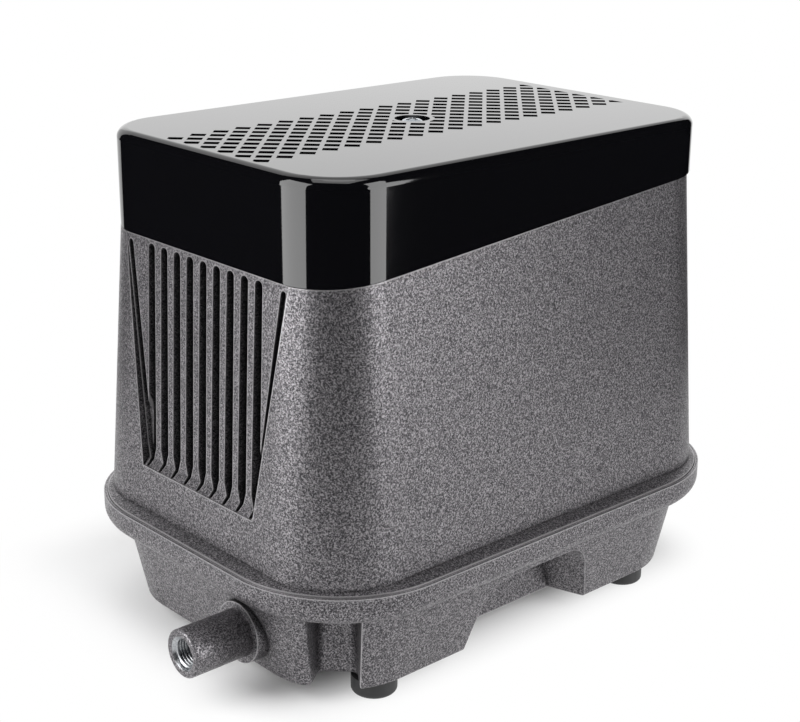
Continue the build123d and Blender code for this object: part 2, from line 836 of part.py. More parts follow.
# Rubber buffers with a waist, and the bolts that go down through them
with BuildPart() as buffer:
    with BuildSketch(Plane.XZ):
        with BuildLine():
            Polyline(
                (buffer_bolt_radius + screw_clearance, tank_plate_top),
                (buffer_radius, tank_plate_top),
                (buffer_radius, tank_plate_top + buffer_height / 4),
                (buffer_waist_radius, tank_plate_top + buffer_height / 2),
                (buffer_radius, buffer_top - buffer_height / 4),
                (buffer_radius, buffer_top),
                (buffer_bolt_radius + screw_clearance, buffer_top),
                close=True,
            )
        make_face()
    revolve(axis=Axis.Z)
with BuildPart() as buffers:
    with buffer_places:
        add(buffer.part)
buffer_bolt_seat = buffer_top + frame_foot_thickness
buffer_bolt = pan_screw(
    buffer_bolt_radius,
    buffer_bolt_seat - tank_plate_bottom + buffer_boss_height - buffer_boss_floor - thread_runout,
    buffer_bolt_head_radius,
    buffer_bolt_head_height,
)
with BuildPart() as buffer_bolts:
    with buffer_places:
        with Locations(Location((0, 0, buffer_bolt_seat), (180, 0, 0))):
            add(buffer_bolt)

# Frame plates: the rear one is drawn, the front one mirrors it
core_back_x = core_gap + core_depth
core_bolt_places = GridLocations(2 * (core_back_x - core_back / 2), 2 * core_bolt_spread, 2, 2)
head_screw_ring = PolarLocations(head_screw_circle, head_screw_count, start_angle=30)
with BuildPart() as rear_frame:
    with BuildSketch(Plane.XZ.offset(-frame_outer)):
        with Locations((0, (buffer_top + frame_plate_top) / 2)):
            RectangleRounded(frame_plate_width, frame_plate_top - buffer_top, frame_corner_radius)
    extrude(amount=frame_plate_thickness)
    with BuildSketch(Plane.XY.offset(buffer_top)):
        with Locations((0, frame_inner - frame_foot_length / 2 + frame_plate_thickness)):
            Rectangle(frame_plate_width - 2 * frame_corner_radius, frame_foot_length)
    extrude(amount=frame_foot_thickness)
    disc(frame_inner, frame_outer, frame_opening_radius, Mode.SUBTRACT)
    with BuildSketch(across(frame_inner)):
        with core_bolt_places:
            Circle(core_bolt_radius + screw_clearance)
        with head_screw_ring:
            Circle(head_screw_radius + thread_clearance)
    extrude(amount=frame_plate_thickness, mode=Mode.SUBTRACT)
    with BuildSketch(Plane.XY.offset(buffer_top)):
        with buffer_places:
            Circle(buffer_bolt_radius + screw_clearance)
    extrude(amount=frame_foot_thickness, mode=Mode.SUBTRACT)
with BuildPart() as front_frame:
    mirror(rear_frame.part, about=Plane.XZ)

# Laminated E cores, right and left, clamped between the frame plates
with BuildPart() as right_core:
    with BuildSketch(Plane.XY.offset(pump_height - core_stack / 2)):
        with Locations(((core_gap + core_back_x) / 2, 0)):
            Rectangle(core_depth, core_length)
        with Locations((core_gap + (core_depth - core_back) / 2, 0)):
            with GridLocations(0, core_middle_leg + core_window, 1, 2):
                Rectangle(core_depth - core_back, core_window, mode=Mode.SUBTRACT)
    extrude(amount=core_stack)
    with BuildSketch(across(-core_length / 2)):
        with core_bolt_places:
            Circle(core_bolt_radius + screw_clearance)
    extrude(amount=core_length, mode=Mode.SUBTRACT)
with BuildPart() as left_core:
    mirror(right_core.part, about=Plane.YZ)

core_bolt = pan_screw(
    core_bolt_radius, 2 * frame_outer, core_bolt_head_radius, core_bolt_head_height
)
with BuildPart() as core_bolts:
    for place in core_bolt_places:
        x, z = place.position.X, pump_height + place.position.Y
        with Locations(Location((x, -frame_outer, z), (-90, 0, 0))):
            add(core_bolt)
        with Locations(Location((x, frame_outer + core_bolt_head_height / 2, z), (90, 0, 0))):
            Cylinder(core_bolt_head_radius, core_bolt_head_height)

# Bobbins on the middle legs and the coils on them
bobbin_start = core_gap + bobbin_recess
bobbin_end = core_back_x - core_back - bobbin_end_gap
tube_y = core_middle_leg + 2 * bobbin_gap
tube_z = core_stack + 2 * bobbin_gap
flange_grow = bobbin_wall + winding_height
flange_y = tube_y + 2 * flange_grow
flange_z = tube_z + 2 * flange_grow
with BuildPart() as right_bobbin:
    for start, end, grow, radius in (
        (bobbin_start, bobbin_start + bobbin_flange, flange_grow, bobbin_flange_corner_radius),
        (bobbin_start, bobbin_end, bobbin_wall, bobbin_corner_radius),
        (bobbin_end - bobbin_flange, bobbin_end, flange_grow, bobbin_flange_corner_radius),
    ):
        with BuildSketch(Plane.YZ.offset(start)):
            with Locations((0, pump_height)):
                RectangleRounded(tube_y + 2 * grow, tube_z + 2 * grow, radius)
        extrude(amount=end - start)
    with BuildSketch(Plane.YZ.offset(bobbin_start)):
        with Locations((0, pump_height)):
            Rectangle(tube_y, tube_z)
    extrude(amount=bobbin_end - bobbin_start, mode=Mode.SUBTRACT)
with BuildPart() as right_coil:
    with BuildSketch(Plane.YZ.offset(bobbin_start + bobbin_flange)):
        with Locations((0, pump_height)):
            RectangleRounded(
                flange_y - 2 * winding_length_gap, flange_z - 2 * winding_length_gap, winding_corner_radius
            )
            RectangleRounded(
                tube_y + 2 * bobbin_wall, tube_z + 2 * bobbin_wall, bobbin_corner_radius,
                mode=Mode.SUBTRACT,
            )
    extrude(amount=bobbin_end - bobbin_start - 2 * bobbin_flange)
with BuildPart() as left_bobbin:
    mirror(right_bobbin.part, about=Plane.YZ)
with BuildPart() as left_coil:
    mirror(right_coil.part, about=Plane.YZ)

# Moving assembly: magnet carrier, its two magnets and a stepped stud at each end
with BuildPart() as magnets:
    with Locations((0, 0, pump_height)):
        with GridLocations(0, 2 * magnet_offset, 1, 2):
            Box(magnet_width, magnet_length, magnet_height)
with BuildPart() as magnet_carrier:
    with Locations((0, 0, pump_height)):
        Box(carrier_width, carrier_length, carrier_height)
    fillet(magnet_carrier.edges().filter_by(Axis.Y), radius=carrier_edge_radius)
    with Locations((0, 0, pump_height)):
        with GridLocations(0, 2 * magnet_offset, 1, 2):
            Box(carrier_width, magnet_length, magnet_height, mode=Mode.SUBTRACT)
    carrier_end = carrier_length / 2
    for start in (-carrier_end, carrier_end - stud_anchor):
        disc(start, start + stud_anchor, stud_radius, Mode.SUBTRACT)
clamp_start = diaphragm_start - clamp_thickness
clamp_end = diaphragm_end + clamp_thickness
stud_end = clamp_end + nut_height + stud_protrusion
with BuildPart() as rear_stud:
    disc(carrier_end - stud_anchor, clamp_start, stud_radius)
    disc(clamp_start, stud_end, stud_neck_radius)
with BuildPart() as front_stud:
    mirror(rear_stud.part, about=Plane.XZ)

# Clamp plates and nuts that hold the middle of each diaphragm
with BuildPart() as clamp_plates:
    disc(clamp_start, diaphragm_start, clamp_radius)
    disc(diaphragm_end, clamp_end, clamp_radius)
    disc(clamp_start, clamp_end, stud_neck_radius, Mode.SUBTRACT)
    mirror(about=Plane.XZ)
with BuildPart() as clamp_nuts:
    with BuildSketch(across(clamp_end)):
        RegularPolygon(nut_radius, 6)
        Circle(stud_neck_radius, mode=Mode.SUBTRACT)
    extrude(amount=nut_height)
    mirror(about=Plane.XZ)

# Diaphragms with a rolled convolution between the clamp plates and the rim
convolution_middle = (clamp_radius + chamber_radius) / 2
with BuildPart() as rear_diaphragm:
    disc(diaphragm_start, diaphragm_end, head_radius)
    with BuildSketch(Plane.YZ):
        with Locations((diaphragm_start, pump_height + convolution_middle)):
            Circle(convolution_radius)
    revolve(axis=pump_axis)
    with BuildSketch(Plane.YZ):
        with Locations((diaphragm_end, pump_height + convolution_middle)):
            Circle(convolution_radius)
    revolve(axis=pump_axis, mode=Mode.SUBTRACT)
    disc(diaphragm_start, diaphragm_end, stud_neck_radius, Mode.SUBTRACT)
    with BuildSketch(across(diaphragm_start)):
        with head_screw_ring:
            Circle(head_screw_radius + screw_clearance)
    extrude(amount=diaphragm_thickness, mode=Mode.SUBTRACT)
with BuildPart() as front_diaphragm:
    mirror(rear_diaphragm.part, about=Plane.XZ)

# Spacer rings between the frame plates and the diaphragms
with BuildPart() as diaphragm_rings:
    disc(frame_outer, diaphragm_start, head_radius)
    disc(frame_outer, diaphragm_start, chamber_radius, Mode.SUBTRACT)
    with BuildSketch(across(frame_outer)):
        with head_screw_ring:
            Circle(head_screw_radius + screw_clearance)
    extrude(amount=ring_length, mode=Mode.SUBTRACT)
    mirror(about=Plane.XZ)

# Valve heads: a chamber, a wall with two ports, and lugs for the flap pins
lug_x = flap_width / 2 + lug_gap + lug_width / 2
with BuildPart() as rear_head:
    disc(diaphragm_end, head_end, head_radius)
    disc(diaphragm_end, port_wall_start, chamber_radius, Mode.SUBTRACT)
    for hinge_y, hinge_z, wall_y in (
        (suction_hinge_y, suction_hinge_z, port_wall_start),
        (discharge_hinge_y, discharge_hinge_z, head_end),
    ):
        with Locations((0, (hinge_y + wall_y) / 2, hinge_z)):
            with GridLocations(2 * lug_x, 0, 2, 1):
                Box(lug_width, abs(hinge_y - wall_y) + 2 * flap_knuckle_radius, 2 * flap_knuckle_radius)
        with Locations(Location((0, hinge_y, hinge_z), (0, 90, 0))):
            Cylinder(flap_pin_radius, 2 * lug_x + lug_width, mode=Mode.SUBTRACT)
    with BuildSketch(across(port_wall_start)):
        with GridLocations(0, 2 * port_offset, 1, 2):
            Circle(port_radius)
    extrude(amount=head_end - port_wall_start, mode=Mode.SUBTRACT)
    with BuildSketch(across(diaphragm_end)):
        with head_screw_ring:
            Circle(head_screw_radius + screw_clearance)
    extrude(amount=head_length, mode=Mode.SUBTRACT)
with BuildPart() as front_head:
    mirror(rear_head.part, about=Plane.XZ)

# Flaps, each a plate with a rolled knuckle that turns on its pin
with BuildPart() as rear_suction_flap:
    with Locations(Location((0, suction_hinge_y, suction_hinge_z), (0, 90, 0))):
        Cylinder(flap_knuckle_radius, flap_width)
    with Locations((
        0,
        suction_hinge_y + flap_knuckle_radius - flap_thickness / 2,
        suction_hinge_z - flap_length / 2,
    )):
        Box(flap_width, flap_thickness, flap_length)
    with Locations(Location((0, suction_hinge_y, suction_hinge_z), (0, 90, 0))):
        Cylinder(flap_pin_radius + flap_pin_clearance, flap_width, mode=Mode.SUBTRACT)
with BuildPart() as rear_discharge_flap:
    with Locations(Location((0, discharge_hinge_y, discharge_hinge_z), (0, 90, 0))):
        Cylinder(flap_knuckle_radius, flap_width)
    with Locations((
        0,
        discharge_hinge_y - flap_knuckle_radius + flap_thickness / 2,
        discharge_hinge_z - flap_length / 2,
    )):
        Box(flap_width, flap_thickness, flap_length)
    with Locations(Location((0, discharge_hinge_y, discharge_hinge_z), (0, 90, 0))):
        Cylinder(flap_pin_radius + flap_pin_clearance, flap_width, mode=Mode.SUBTRACT)
with BuildPart() as front_suction_flap:
    mirror(rear_suction_flap.part, about=Plane.XZ)
with BuildPart() as front_discharge_flap:
    mirror(rear_discharge_flap.part, about=Plane.XZ)
with BuildPart() as flap_pins:
    for hinge_y, hinge_z in (
        (suction_hinge_y, suction_hinge_z),
        (discharge_hinge_y, discharge_hinge_z),
    ):
        for end in (-1, 1):
            with Locations(Location((0, end * hinge_y, hinge_z), (0, 90, 0))):
                Cylinder(flap_pin_radius, 2 * lug_x + lug_width)

# Head covers: an intake chamber above and an outlet chamber with a spigot below
hose_bottom = tank_plate_top + hose_gap
cover_bottom = pump_height - head_radius
with BuildPart() as rear_cover:
    disc(head_end, cover_end, head_radius)
    with BuildSketch(Plane.XY.offset(cover_bottom - spigot_length)):
        with Locations((0, spigot_y)):
            Circle(spigot_radius)
    extrude(amount=spigot_length + spigot_root)
    for side in (-1, 1):
        with BuildSketch(across(head_end)):
            Circle(chamber_radius)
            with Locations((0, side * (cover_wall / 2 - chamber_radius) / 2)):
                Rectangle(2 * chamber_radius, chamber_radius + cover_wall / 2, mode=Mode.SUBTRACT)
        extrude(amount=cover_length - cover_wall, mode=Mode.SUBTRACT)
    column(0, spigot_y, 0, pump_height - chamber_radius / 2, spigot_bore_radius, Mode.SUBTRACT)
    with BuildSketch(Plane.XY.offset(pump_height + chamber_radius / 2)):
        with Locations((0, head_end + (cover_length - cover_wall) / 2)):
            SlotOverall(intake_slot_length, intake_slot_width)
    extrude(amount=head_radius, mode=Mode.SUBTRACT)
    with BuildSketch(across(head_end)):
        with head_screw_ring:
            Circle(head_screw_radius + screw_clearance)
    extrude(amount=cover_length, mode=Mode.SUBTRACT)
with BuildPart() as front_cover:
    mirror(rear_cover.part, about=Plane.XZ)

head_screw = pan_screw(
    head_screw_radius, cover_end - frame_inner - thread_runout, head_screw_head_radius, head_screw_head_height
)
with BuildPart() as head_screws:
    for place in head_screw_ring:
        with Locations((place.position.X, cover_end, pump_height + place.position.Y)):
            with Locations(Location((0, 0, 0), (90, 0, 0))):
                add(head_screw)
    mirror(about=Plane.XZ)

# Hoses from the covers down to the tank, and their clips
hose_top = cover_bottom - hose_gap
with BuildPart() as outlet_hoses:
    for end in (-1, 1):
        column(0, end * spigot_y, hose_bottom, hose_top, hose_radius)
        column(0, end * spigot_y, hose_bottom, hose_top, spigot_radius, Mode.SUBTRACT)
with BuildPart() as hose_clips:
    for end in (-1, 1):
        for low in (hose_bottom + clip_margin, hose_top - clip_margin - clip_width):
            column(0, end * spigot_y, low, low + clip_width, clip_radius)
            column(0, end * spigot_y, low, low + clip_width, hose_radius, Mode.SUBTRACT)

# Terminal block, earth screw and thermal protector
with BuildPart() as terminal_block:
    with Locations((terminal_x, terminal_y, tank_plate_top + terminal_height / 2)):
        Box(terminal_width, terminal_length, terminal_height)
    fillet(terminal_block.edges().filter_by(Axis.Z), radius=1.5)
    with Locations((terminal_x, terminal_y, tank_plate_top + terminal_height)):
        with GridLocations(0, terminal_pole_pitch, 1, 3):
            Cylinder(terminal_hole_radius, terminal_height, mode=Mode.SUBTRACT)
with BuildPart() as terminal_screws:
    with Locations((terminal_x, terminal_y, tank_plate_top + terminal_height / 2)):
        with GridLocations(0, terminal_pole_pitch, 1, 3):
            Cylinder(
                terminal_hole_radius, terminal_height / 4,
                align=(Align.CENTER, Align.CENTER, Align.MIN),
            )
with BuildPart() as earth_screw:
    with Locations(Location((earth_x, terminal_y, tank_plate_top + tank_screw_head_height), (180, 0, 0))):
        add(pan_screw(tank_screw_radius, tank_screw_head_height, tank_screw_head_radius,
                      tank_screw_head_height))
with BuildPart() as thermal_protector:
    with Locations((
        (bobbin_start + bobbin_end) / 2,
        0,
        pump_height + flange_z / 2 - winding_length_gap + protector_height / 2,
    )):
        Box(protector_width, protector_length, protector_height)

pieces = {
    "lid": lid,
    "lid_screw": lid_screw,
    "filter_foam": filter_foam,
    "housing": housing,
    "case_gasket": case_gasket,
    "case_screws": case_screws,
    "base": base,
    "outlet_spigot": outlet_spigot,
    "feet": feet,
    "foot_screws": foot_screws,
    "cable_grommet": cable_grommet,
    "tank_plate": tank_plate,
    "tank_gasket": tank_gasket,
    "tank_screws": tank_screws,
    "buffers": buffers,
    "buffer_bolts": buffer_bolts,
    "front_frame": front_frame,
    "rear_frame": rear_frame,
    "left_core": left_core,
    "right_core": right_core,
    "core_bolts": core_bolts,
    "left_bobbin": left_bobbin,
    "right_bobbin": right_bobbin,
    "left_coil": left_coil,
    "right_coil": right_coil,
    "thermal_protector": thermal_protector,
    "magnet_carrier": magnet_carrier,
    "magnets": magnets,
    "front_stud": front_stud,
    "rear_stud": rear_stud,
    "clamp_plates": clamp_plates,
    "clamp_nuts": clamp_nuts,
    "front_diaphragm": front_diaphragm,
    "rear_diaphragm": rear_diaphragm,
    "diaphragm_rings": diaphragm_rings,
    "front_head": front_head,
    "rear_head": rear_head,
    "front_suction_flap": front_suction_flap,
    "front_discharge_flap": front_discharge_flap,
    "rear_suction_flap": rear_suction_flap,
    "rear_discharge_flap": rear_discharge_flap,
    "flap_pins": flap_pins,
    "front_cover": front_cover,
    "rear_cover": rear_cover,
    "head_screws": head_screws,
    "outlet_hoses": outlet_hoses,
    "hose_clips": hose_clips,
    "terminal_block": terminal_block,
    "terminal_screws": terminal_screws,
    "earth_screw": earth_screw,
}
for name, piece in pieces.items():
    piece.part.label = name
    export_step(piece.part, f"parts/{name}.step")
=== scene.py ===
"""Dresses the diaphragm air pump: its finishes, its fine pieces and the studio round it."""

from __future__ import annotations

import json
import logging
import math
from abc import ABC, abstractmethod
from dataclasses import dataclass
from enum import Enum, IntEnum
from functools import partial
from typing import Any, Callable, Iterable, Iterator, Mapping, Sequence

import bmesh
import bpy
from mathutils import Matrix, Vector, noise

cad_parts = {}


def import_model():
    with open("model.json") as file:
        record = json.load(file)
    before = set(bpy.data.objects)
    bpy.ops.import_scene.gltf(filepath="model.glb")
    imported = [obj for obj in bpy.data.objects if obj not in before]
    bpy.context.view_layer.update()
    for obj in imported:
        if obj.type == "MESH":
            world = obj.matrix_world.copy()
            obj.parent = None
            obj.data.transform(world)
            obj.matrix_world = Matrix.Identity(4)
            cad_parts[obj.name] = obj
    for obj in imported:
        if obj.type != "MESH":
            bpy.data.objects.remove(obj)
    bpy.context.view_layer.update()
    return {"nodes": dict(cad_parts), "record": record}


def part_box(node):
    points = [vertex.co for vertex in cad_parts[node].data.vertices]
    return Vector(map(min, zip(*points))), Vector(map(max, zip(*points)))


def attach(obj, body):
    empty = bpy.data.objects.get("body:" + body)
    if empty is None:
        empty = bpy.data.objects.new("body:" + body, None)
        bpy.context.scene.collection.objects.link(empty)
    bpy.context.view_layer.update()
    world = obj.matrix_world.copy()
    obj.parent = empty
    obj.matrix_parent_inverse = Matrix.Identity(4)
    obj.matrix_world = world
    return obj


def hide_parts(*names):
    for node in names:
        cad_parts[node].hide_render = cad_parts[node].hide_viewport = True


LOG = logging.getLogger("air_pump")
MM = 0.001
# Keeps a division finite where a direction has no share along an axis
TINY = 1e-9
# How far Blender's wave texture turns, in radians, over one unit at scale 1
WAVE_TURN = 20.0

Point = tuple[float, float, float]
Radius = float | Callable[[float], float]


def linear(colour: str) -> tuple[float, float, float, float]:
    """Turns an sRGB hex colour into linear RGBA.

    Args:
        colour: Colour as "#rrggbb".

    Returns:
        Linear red, green, blue and an alpha of 1.
    """
    channels = [int(colour[start : start + 2], 16) / 255 for start in (1, 3, 5)]
    red, green, blue = (
        value / 12.92 if value <= 0.04045 else ((value + 0.055) / 1.055) ** 2.4
        for value in channels
    )
    return red, green, blue, 1.0


def add_node(
    tree: bpy.types.NodeTree,
    kind: str,
    links: Mapping[str | int, bpy.types.NodeSocket] | None = None,
    values: Mapping[str | int, Any] | None = None,
    into: bpy.types.NodeSocket | None = None,
    stops: Sequence[tuple[float, str]] = (),
    **settings: Any,
) -> bpy.types.Node:
    """Adds a node with its settings, its socket values and its links.

    Args:
        tree: Node tree that takes the node.
        kind: Blender's type name of the node.
        links: Output sockets to join, by the name or index of the node's input.
        values: Numbers or colours for inputs, by name or index.
        into: Input socket that takes the node's first output.
        stops: Position and sRGB hex colour of each stop of a colour ramp, in order.
        **settings: Properties of the node itself.

    Returns:
        The new node.
    """
    node = tree.nodes.new(kind)
    for name, setting in settings.items():
        setattr(node, name, setting)
    for socket, value in (values or {}).items():
        node.inputs[socket].default_value = value
    for socket, source in (links or {}).items():
        tree.links.new(source, node.inputs[socket])
    if into is not None:
        tree.links.new(node.outputs[0], into)
    if stops:
        elements = node.color_ramp.elements
        while len(elements) < len(stops):
            elements.new(1.0)
        for element, (position, colour) in zip(elements, stops):
            element.position = position
            element.color = linear(colour)
    return node


def per_metre(size_mm: float) -> float:
    """Texture scale, in repeats a metre, of a pattern whose features are size_mm wide."""
    return 1000.0 / size_mm


def wave_scale(repeat_mm: float) -> float:
    """Scale of a wave texture whose bands repeat every repeat_mm."""
    return math.tau / WAVE_TURN * per_metre(repeat_mm)


def seen_rays(tree: bpy.types.NodeTree) -> bpy.types.NodeSocket:
    """Adds a factor that is 1 for what the camera, a mirror or a clear piece shows, else 0."""
    ray = add_node(tree, "ShaderNodeLightPath").outputs
    direct = add_node(
        tree,
        "ShaderNodeMath",
        {0: ray["Is Camera Ray"], 1: ray["Is Transmission Ray"]},
        operation="MAXIMUM",
    ).outputs[0]
    return add_node(
        tree, "ShaderNodeMath", {0: direct, 1: ray["Is Glossy Ray"]}, operation="MAXIMUM"
    ).outputs[0]


class Slot(Enum):
    """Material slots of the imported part."""

    GLOSS_ABS = "gloss_black_abs"
    CASTING = "hammertone_casting"
    RUBBER = "black_rubber"
    ZINC = "zinc_steel"
    PLATE = "aluminium_plate"
    LAMINATION = "electrical_steel"
    NYLON = "moulded_nylon"
    WINDING = "copper_wire"
    FERRITE = "ferrite"
    FOAM = "filter_foam"
    BRASS = "brass_pole"


@dataclass(frozen=True)
class Finish(ABC):
    """A surface finish, built once and shared by every piece that wears it."""

    name: str
    colour: str
    roughness: float

    @abstractmethod
    def shade(
        self,
        tree: bpy.types.NodeTree,
        surface: bpy.types.NodeInputs,
        place: bpy.types.NodeSocket,
    ) -> None:
        """Adds the pattern nodes of the finish.

        Args:
            tree: Node tree of the material.
            surface: Inputs of the Principled shader.
            place: Position on the object in metres.
        """

    def _drive(
        self,
        tree: bpy.types.NodeTree,
        surface: bpy.types.NodeInputs,
        pattern: bpy.types.NodeSocket,
        stops: Sequence[tuple[float, str]] = (),
        haze: tuple[float, float] | None = None,
        relief_mm: float = 0.0,
    ) -> None:
        """Lets a pattern drive the colour, the roughness and the relief of the surface.

        Args:
            tree: Node tree of the material.
            surface: Inputs of the Principled shader.
            pattern: Value from 0 to 1.
            stops: Colours along the pattern, where it changes the colour.
            haze: What the roughness gains at 0 and at 1, where it changes that.
            relief_mm: Height of the relief at 1, where it has one.
        """
        if stops:
            add_node(
                tree,
                "ShaderNodeValToRGB",
                {"Fac": pattern},
                into=surface["Base Color"],
                stops=stops,
            )
        if haze:
            low, high = haze
            add_node(
                tree,
                "ShaderNodeMapRange",
                {"Value": pattern},
                {"To Min": self.roughness + low, "To Max": self.roughness + high},
                into=surface["Roughness"],
            )
        if relief_mm:
            add_node(
                tree,
                "ShaderNodeBump",
                {"Height": pattern},
                {"Distance": relief_mm * MM},
                into=surface["Normal"],
            )

    def material(self) -> bpy.types.Material:
        """Returns the material of this finish, building it the first time."""
        found = bpy.data.materials.get(self.name)
        if found:
            return found
        material = bpy.data.materials.new(self.name)
        material.use_nodes = True
        material.diffuse_color = linear(self.colour)
        tree = material.node_tree
        surface = tree.nodes["Principled BSDF"].inputs
        surface["Base Color"].default_value = linear(self.colour)
        surface["Roughness"].default_value = self.roughness
        place = add_node(tree, "ShaderNodeTexCoord").outputs["Object"]
        self.shade(tree, surface, place)
        return material


@dataclass(frozen=True)
class HammertoneEnamel(Finish):
    """Silicone-flaked stoving enamel on cast aluminium.

    The eye sees a mid grey crawled into dark and light worms about a millimetre
    wide, dull in the hollows and glinting on the crests. The colour has painted shade,
    near black, in narrow grooves and a painted highlight, pale, over sharp edges.
    """

    hollow: str = "#353437"
    crest: str = "#969396"
    # Painted shade: near black colour in narrow grooves
    painted_groove_shade: str = "#131314"
    # Painted highlight: pale colour on sharp outer edges, standing in for their shine
    painted_edge_highlight: str = "#aeacae"
    flake: float = 0.7
    worm_mm: float = 0.62
    relief_mm: float = 0.06
    # The hollows are duller than the coat as a whole, and the crests shine more
    haze: tuple[float, float] = (0.12, -0.1)
    # Reach and span of the painted shade in grooves, then of the painted highlight on edges
    groove_shade_reach_mm: float = 7.0
    groove_shade_span: tuple[float, float] = (0.35, 0.8)
    edge_highlight_reach_mm: float = 0.7
    edge_highlight_span: tuple[float, float] = (0.5, 0.95)

    def shade(
        self,
        tree: bpy.types.NodeTree,
        surface: bpy.types.NodeInputs,
        place: bpy.types.NodeSocket,
    ) -> None:
        """Adds the worms, in the colour, the gloss and the relief, then the painted shade in
        grooves and the painted highlight on edges.
        """
        surface["Metallic"].default_value = self.flake
        worms = add_node(
            tree,
            "ShaderNodeTexNoise",
            {"Vector": place},
            {"Scale": per_metre(self.worm_mm), "Detail": 0.6, "Distortion": 0.9},
        ).outputs["Fac"]
        coat = add_node(
            tree,
            "ShaderNodeValToRGB",
            {"Fac": worms},
            stops=((0.34, self.hollow), (0.50, self.colour), (0.66, self.crest)),
        ).outputs["Color"]
        # Painted shade: the colour darkens to near black in narrow grooves, found by ambient
        # occlusion
        coat = self._paint_light_by_shape(tree, coat, self.painted_groove_shade, self.groove_shade_reach_mm, self.groove_shade_span)
        # Painted highlight: the colour pales on sharp outer edges, standing in for their shine
        coat = self._paint_light_by_shape(tree, coat, self.painted_edge_highlight, self.edge_highlight_reach_mm, self.edge_highlight_span, edges=True)
        tree.links.new(coat, surface["Base Color"])
        self._drive(tree, surface, worms, haze=self.haze, relief_mm=self.relief_mm)

    def _paint_light_by_shape(
        self,
        tree: bpy.types.NodeTree,
        coat: bpy.types.NodeSocket,
        tint: str,
        reach_mm: float,
        span: tuple[float, float],
        edges: bool = False,
    ) -> bpy.types.NodeSocket:
        """Paints shade or a highlight into the coat's colour, by how open the casting's shape is
        round each point.

        Args:
            tree: Node tree of the material.
            coat: Colour of the coat so far.
            tint: Colour of the painted shade or highlight at its fullest.
            reach_mm: How far off a wall still counts.
            span: Openness at which the tint is full, and at which it ends.
            edges: Whether it paints the highlight on outer edges, seen from inside the metal, or
                the shade in grooves.

        Returns:
            The new colour.
        """
        openness = add_node(
            tree,
            "ShaderNodeAmbientOcclusion",
            None,
            {"Distance": reach_mm * MM},
            samples=8,
            inside=edges,
            only_local=True,
        ).outputs["AO"]
        share = add_node(
            tree,
            "ShaderNodeMapRange",
            {"Value": openness},
            {"From Min": span[0], "From Max": span[1]},
        ).outputs["Result"]
        # Mixes the painted shade or highlight into the coat's colour
        mix = add_node(
            tree, "ShaderNodeMix", {0: share, 7: coat}, {6: linear(tint)}, data_type="RGBA"
        )
        return mix.outputs[2]


@dataclass(frozen=True)
class GlossAbs(Finish):
    """Black ABS from a polished mould.

    The eye sees mirror-sharp reflections on black, with only a faint waviness
    where the walls cooled and a trace of haze from handling.
    """

    wave_mm: float = 38.0
    wave_relief_mm: float = 0.004
    scuff_mm: float = 3.0
    scuff_haze: float = 0.03

    def shade(
        self,
        tree: bpy.types.NodeTree,
        surface: bpy.types.NodeInputs,
        place: bpy.types.NodeSocket,
    ) -> None:
        """Adds the handling haze and the slight waviness of the moulded walls."""
        surface["IOR"].default_value = 1.54
        scuffs = add_node(
            tree,
            "ShaderNodeTexNoise",
            {"Vector": place},
            {"Scale": per_metre(self.scuff_mm), "Detail": 4.0},
        ).outputs["Fac"]
        self._drive(tree, surface, scuffs, haze=(0.0, self.scuff_haze))
        waves = add_node(
            tree,
            "ShaderNodeTexNoise",
            {"Vector": place},
            {"Scale": per_metre(self.wave_mm), "Detail": 0.0},
        ).outputs["Fac"]
        self._drive(tree, surface, waves, relief_mm=self.wave_relief_mm)


@dataclass(frozen=True)
class MouldedRubber(Finish):
    """Compression-moulded black rubber.

    The eye sees a dull charcoal where the wax has bloomed, and a fine
    spark-eroded grain.
    """

    bloom: str = "#2a2a2b"
    bloom_mm: float = 14.0
    grain_mm: float = 0.35
    grain_relief_mm: float = 0.02
    velvet: float = 0.08

    def shade(
        self,
        tree: bpy.types.NodeTree,
        surface: bpy.types.NodeInputs,
        place: bpy.types.NodeSocket,
    ) -> None:
        """Adds the bloom in patches and the grain of the mould."""
        surface["IOR"].default_value = 1.52
        surface["Sheen Weight"].default_value = self.velvet
        patches = add_node(
            tree,
            "ShaderNodeTexNoise",
            {"Vector": place},
            {"Scale": per_metre(self.bloom_mm), "Detail": 3.0},
        ).outputs["Fac"]
        self._drive(tree, surface, patches, stops=((0.35, self.colour), (0.75, self.bloom)))
        grain = add_node(
            tree,
            "ShaderNodeTexNoise",
            {"Vector": place},
            {"Scale": per_metre(self.grain_mm), "Detail": 1.0},
        ).outputs["Fac"]
        self._drive(tree, surface, grain, relief_mm=self.grain_relief_mm)


@dataclass(frozen=True)
class PlatedSteel(Finish):
    """Bright zinc on cold-headed steel.

    The eye sees a bluish white metal, a little cloudy, with fine drawing marks.
    """

    tint: str = "#9fa6ad"
    cloud_mm: float = 5.0
    cloud_haze: float = 0.14
    mark_mm: float = 0.5
    mark_relief_mm: float = 0.008

    def shade(
        self,
        tree: bpy.types.NodeTree,
        surface: bpy.types.NodeInputs,
        place: bpy.types.NodeSocket,
    ) -> None:
        """Adds the cloudy tint of the plating and the marks of the header."""
        surface["Metallic"].default_value = 1.0
        cloud = add_node(
            tree,
            "ShaderNodeTexNoise",
            {"Vector": place},
            {"Scale": per_metre(self.cloud_mm), "Detail": 3.0},
        ).outputs["Fac"]
        self._drive(
            tree,
            surface,
            cloud,
            stops=((0.3, self.tint), (0.7, self.colour)),
            haze=(0.0, self.cloud_haze),
        )
        marks = add_node(
            tree,
            "ShaderNodeTexNoise",
            {"Vector": place},
            {"Scale": per_metre(self.mark_mm), "Detail": 2.0},
        ).outputs["Fac"]
        self._drive(tree, surface, marks, relief_mm=self.mark_relief_mm)


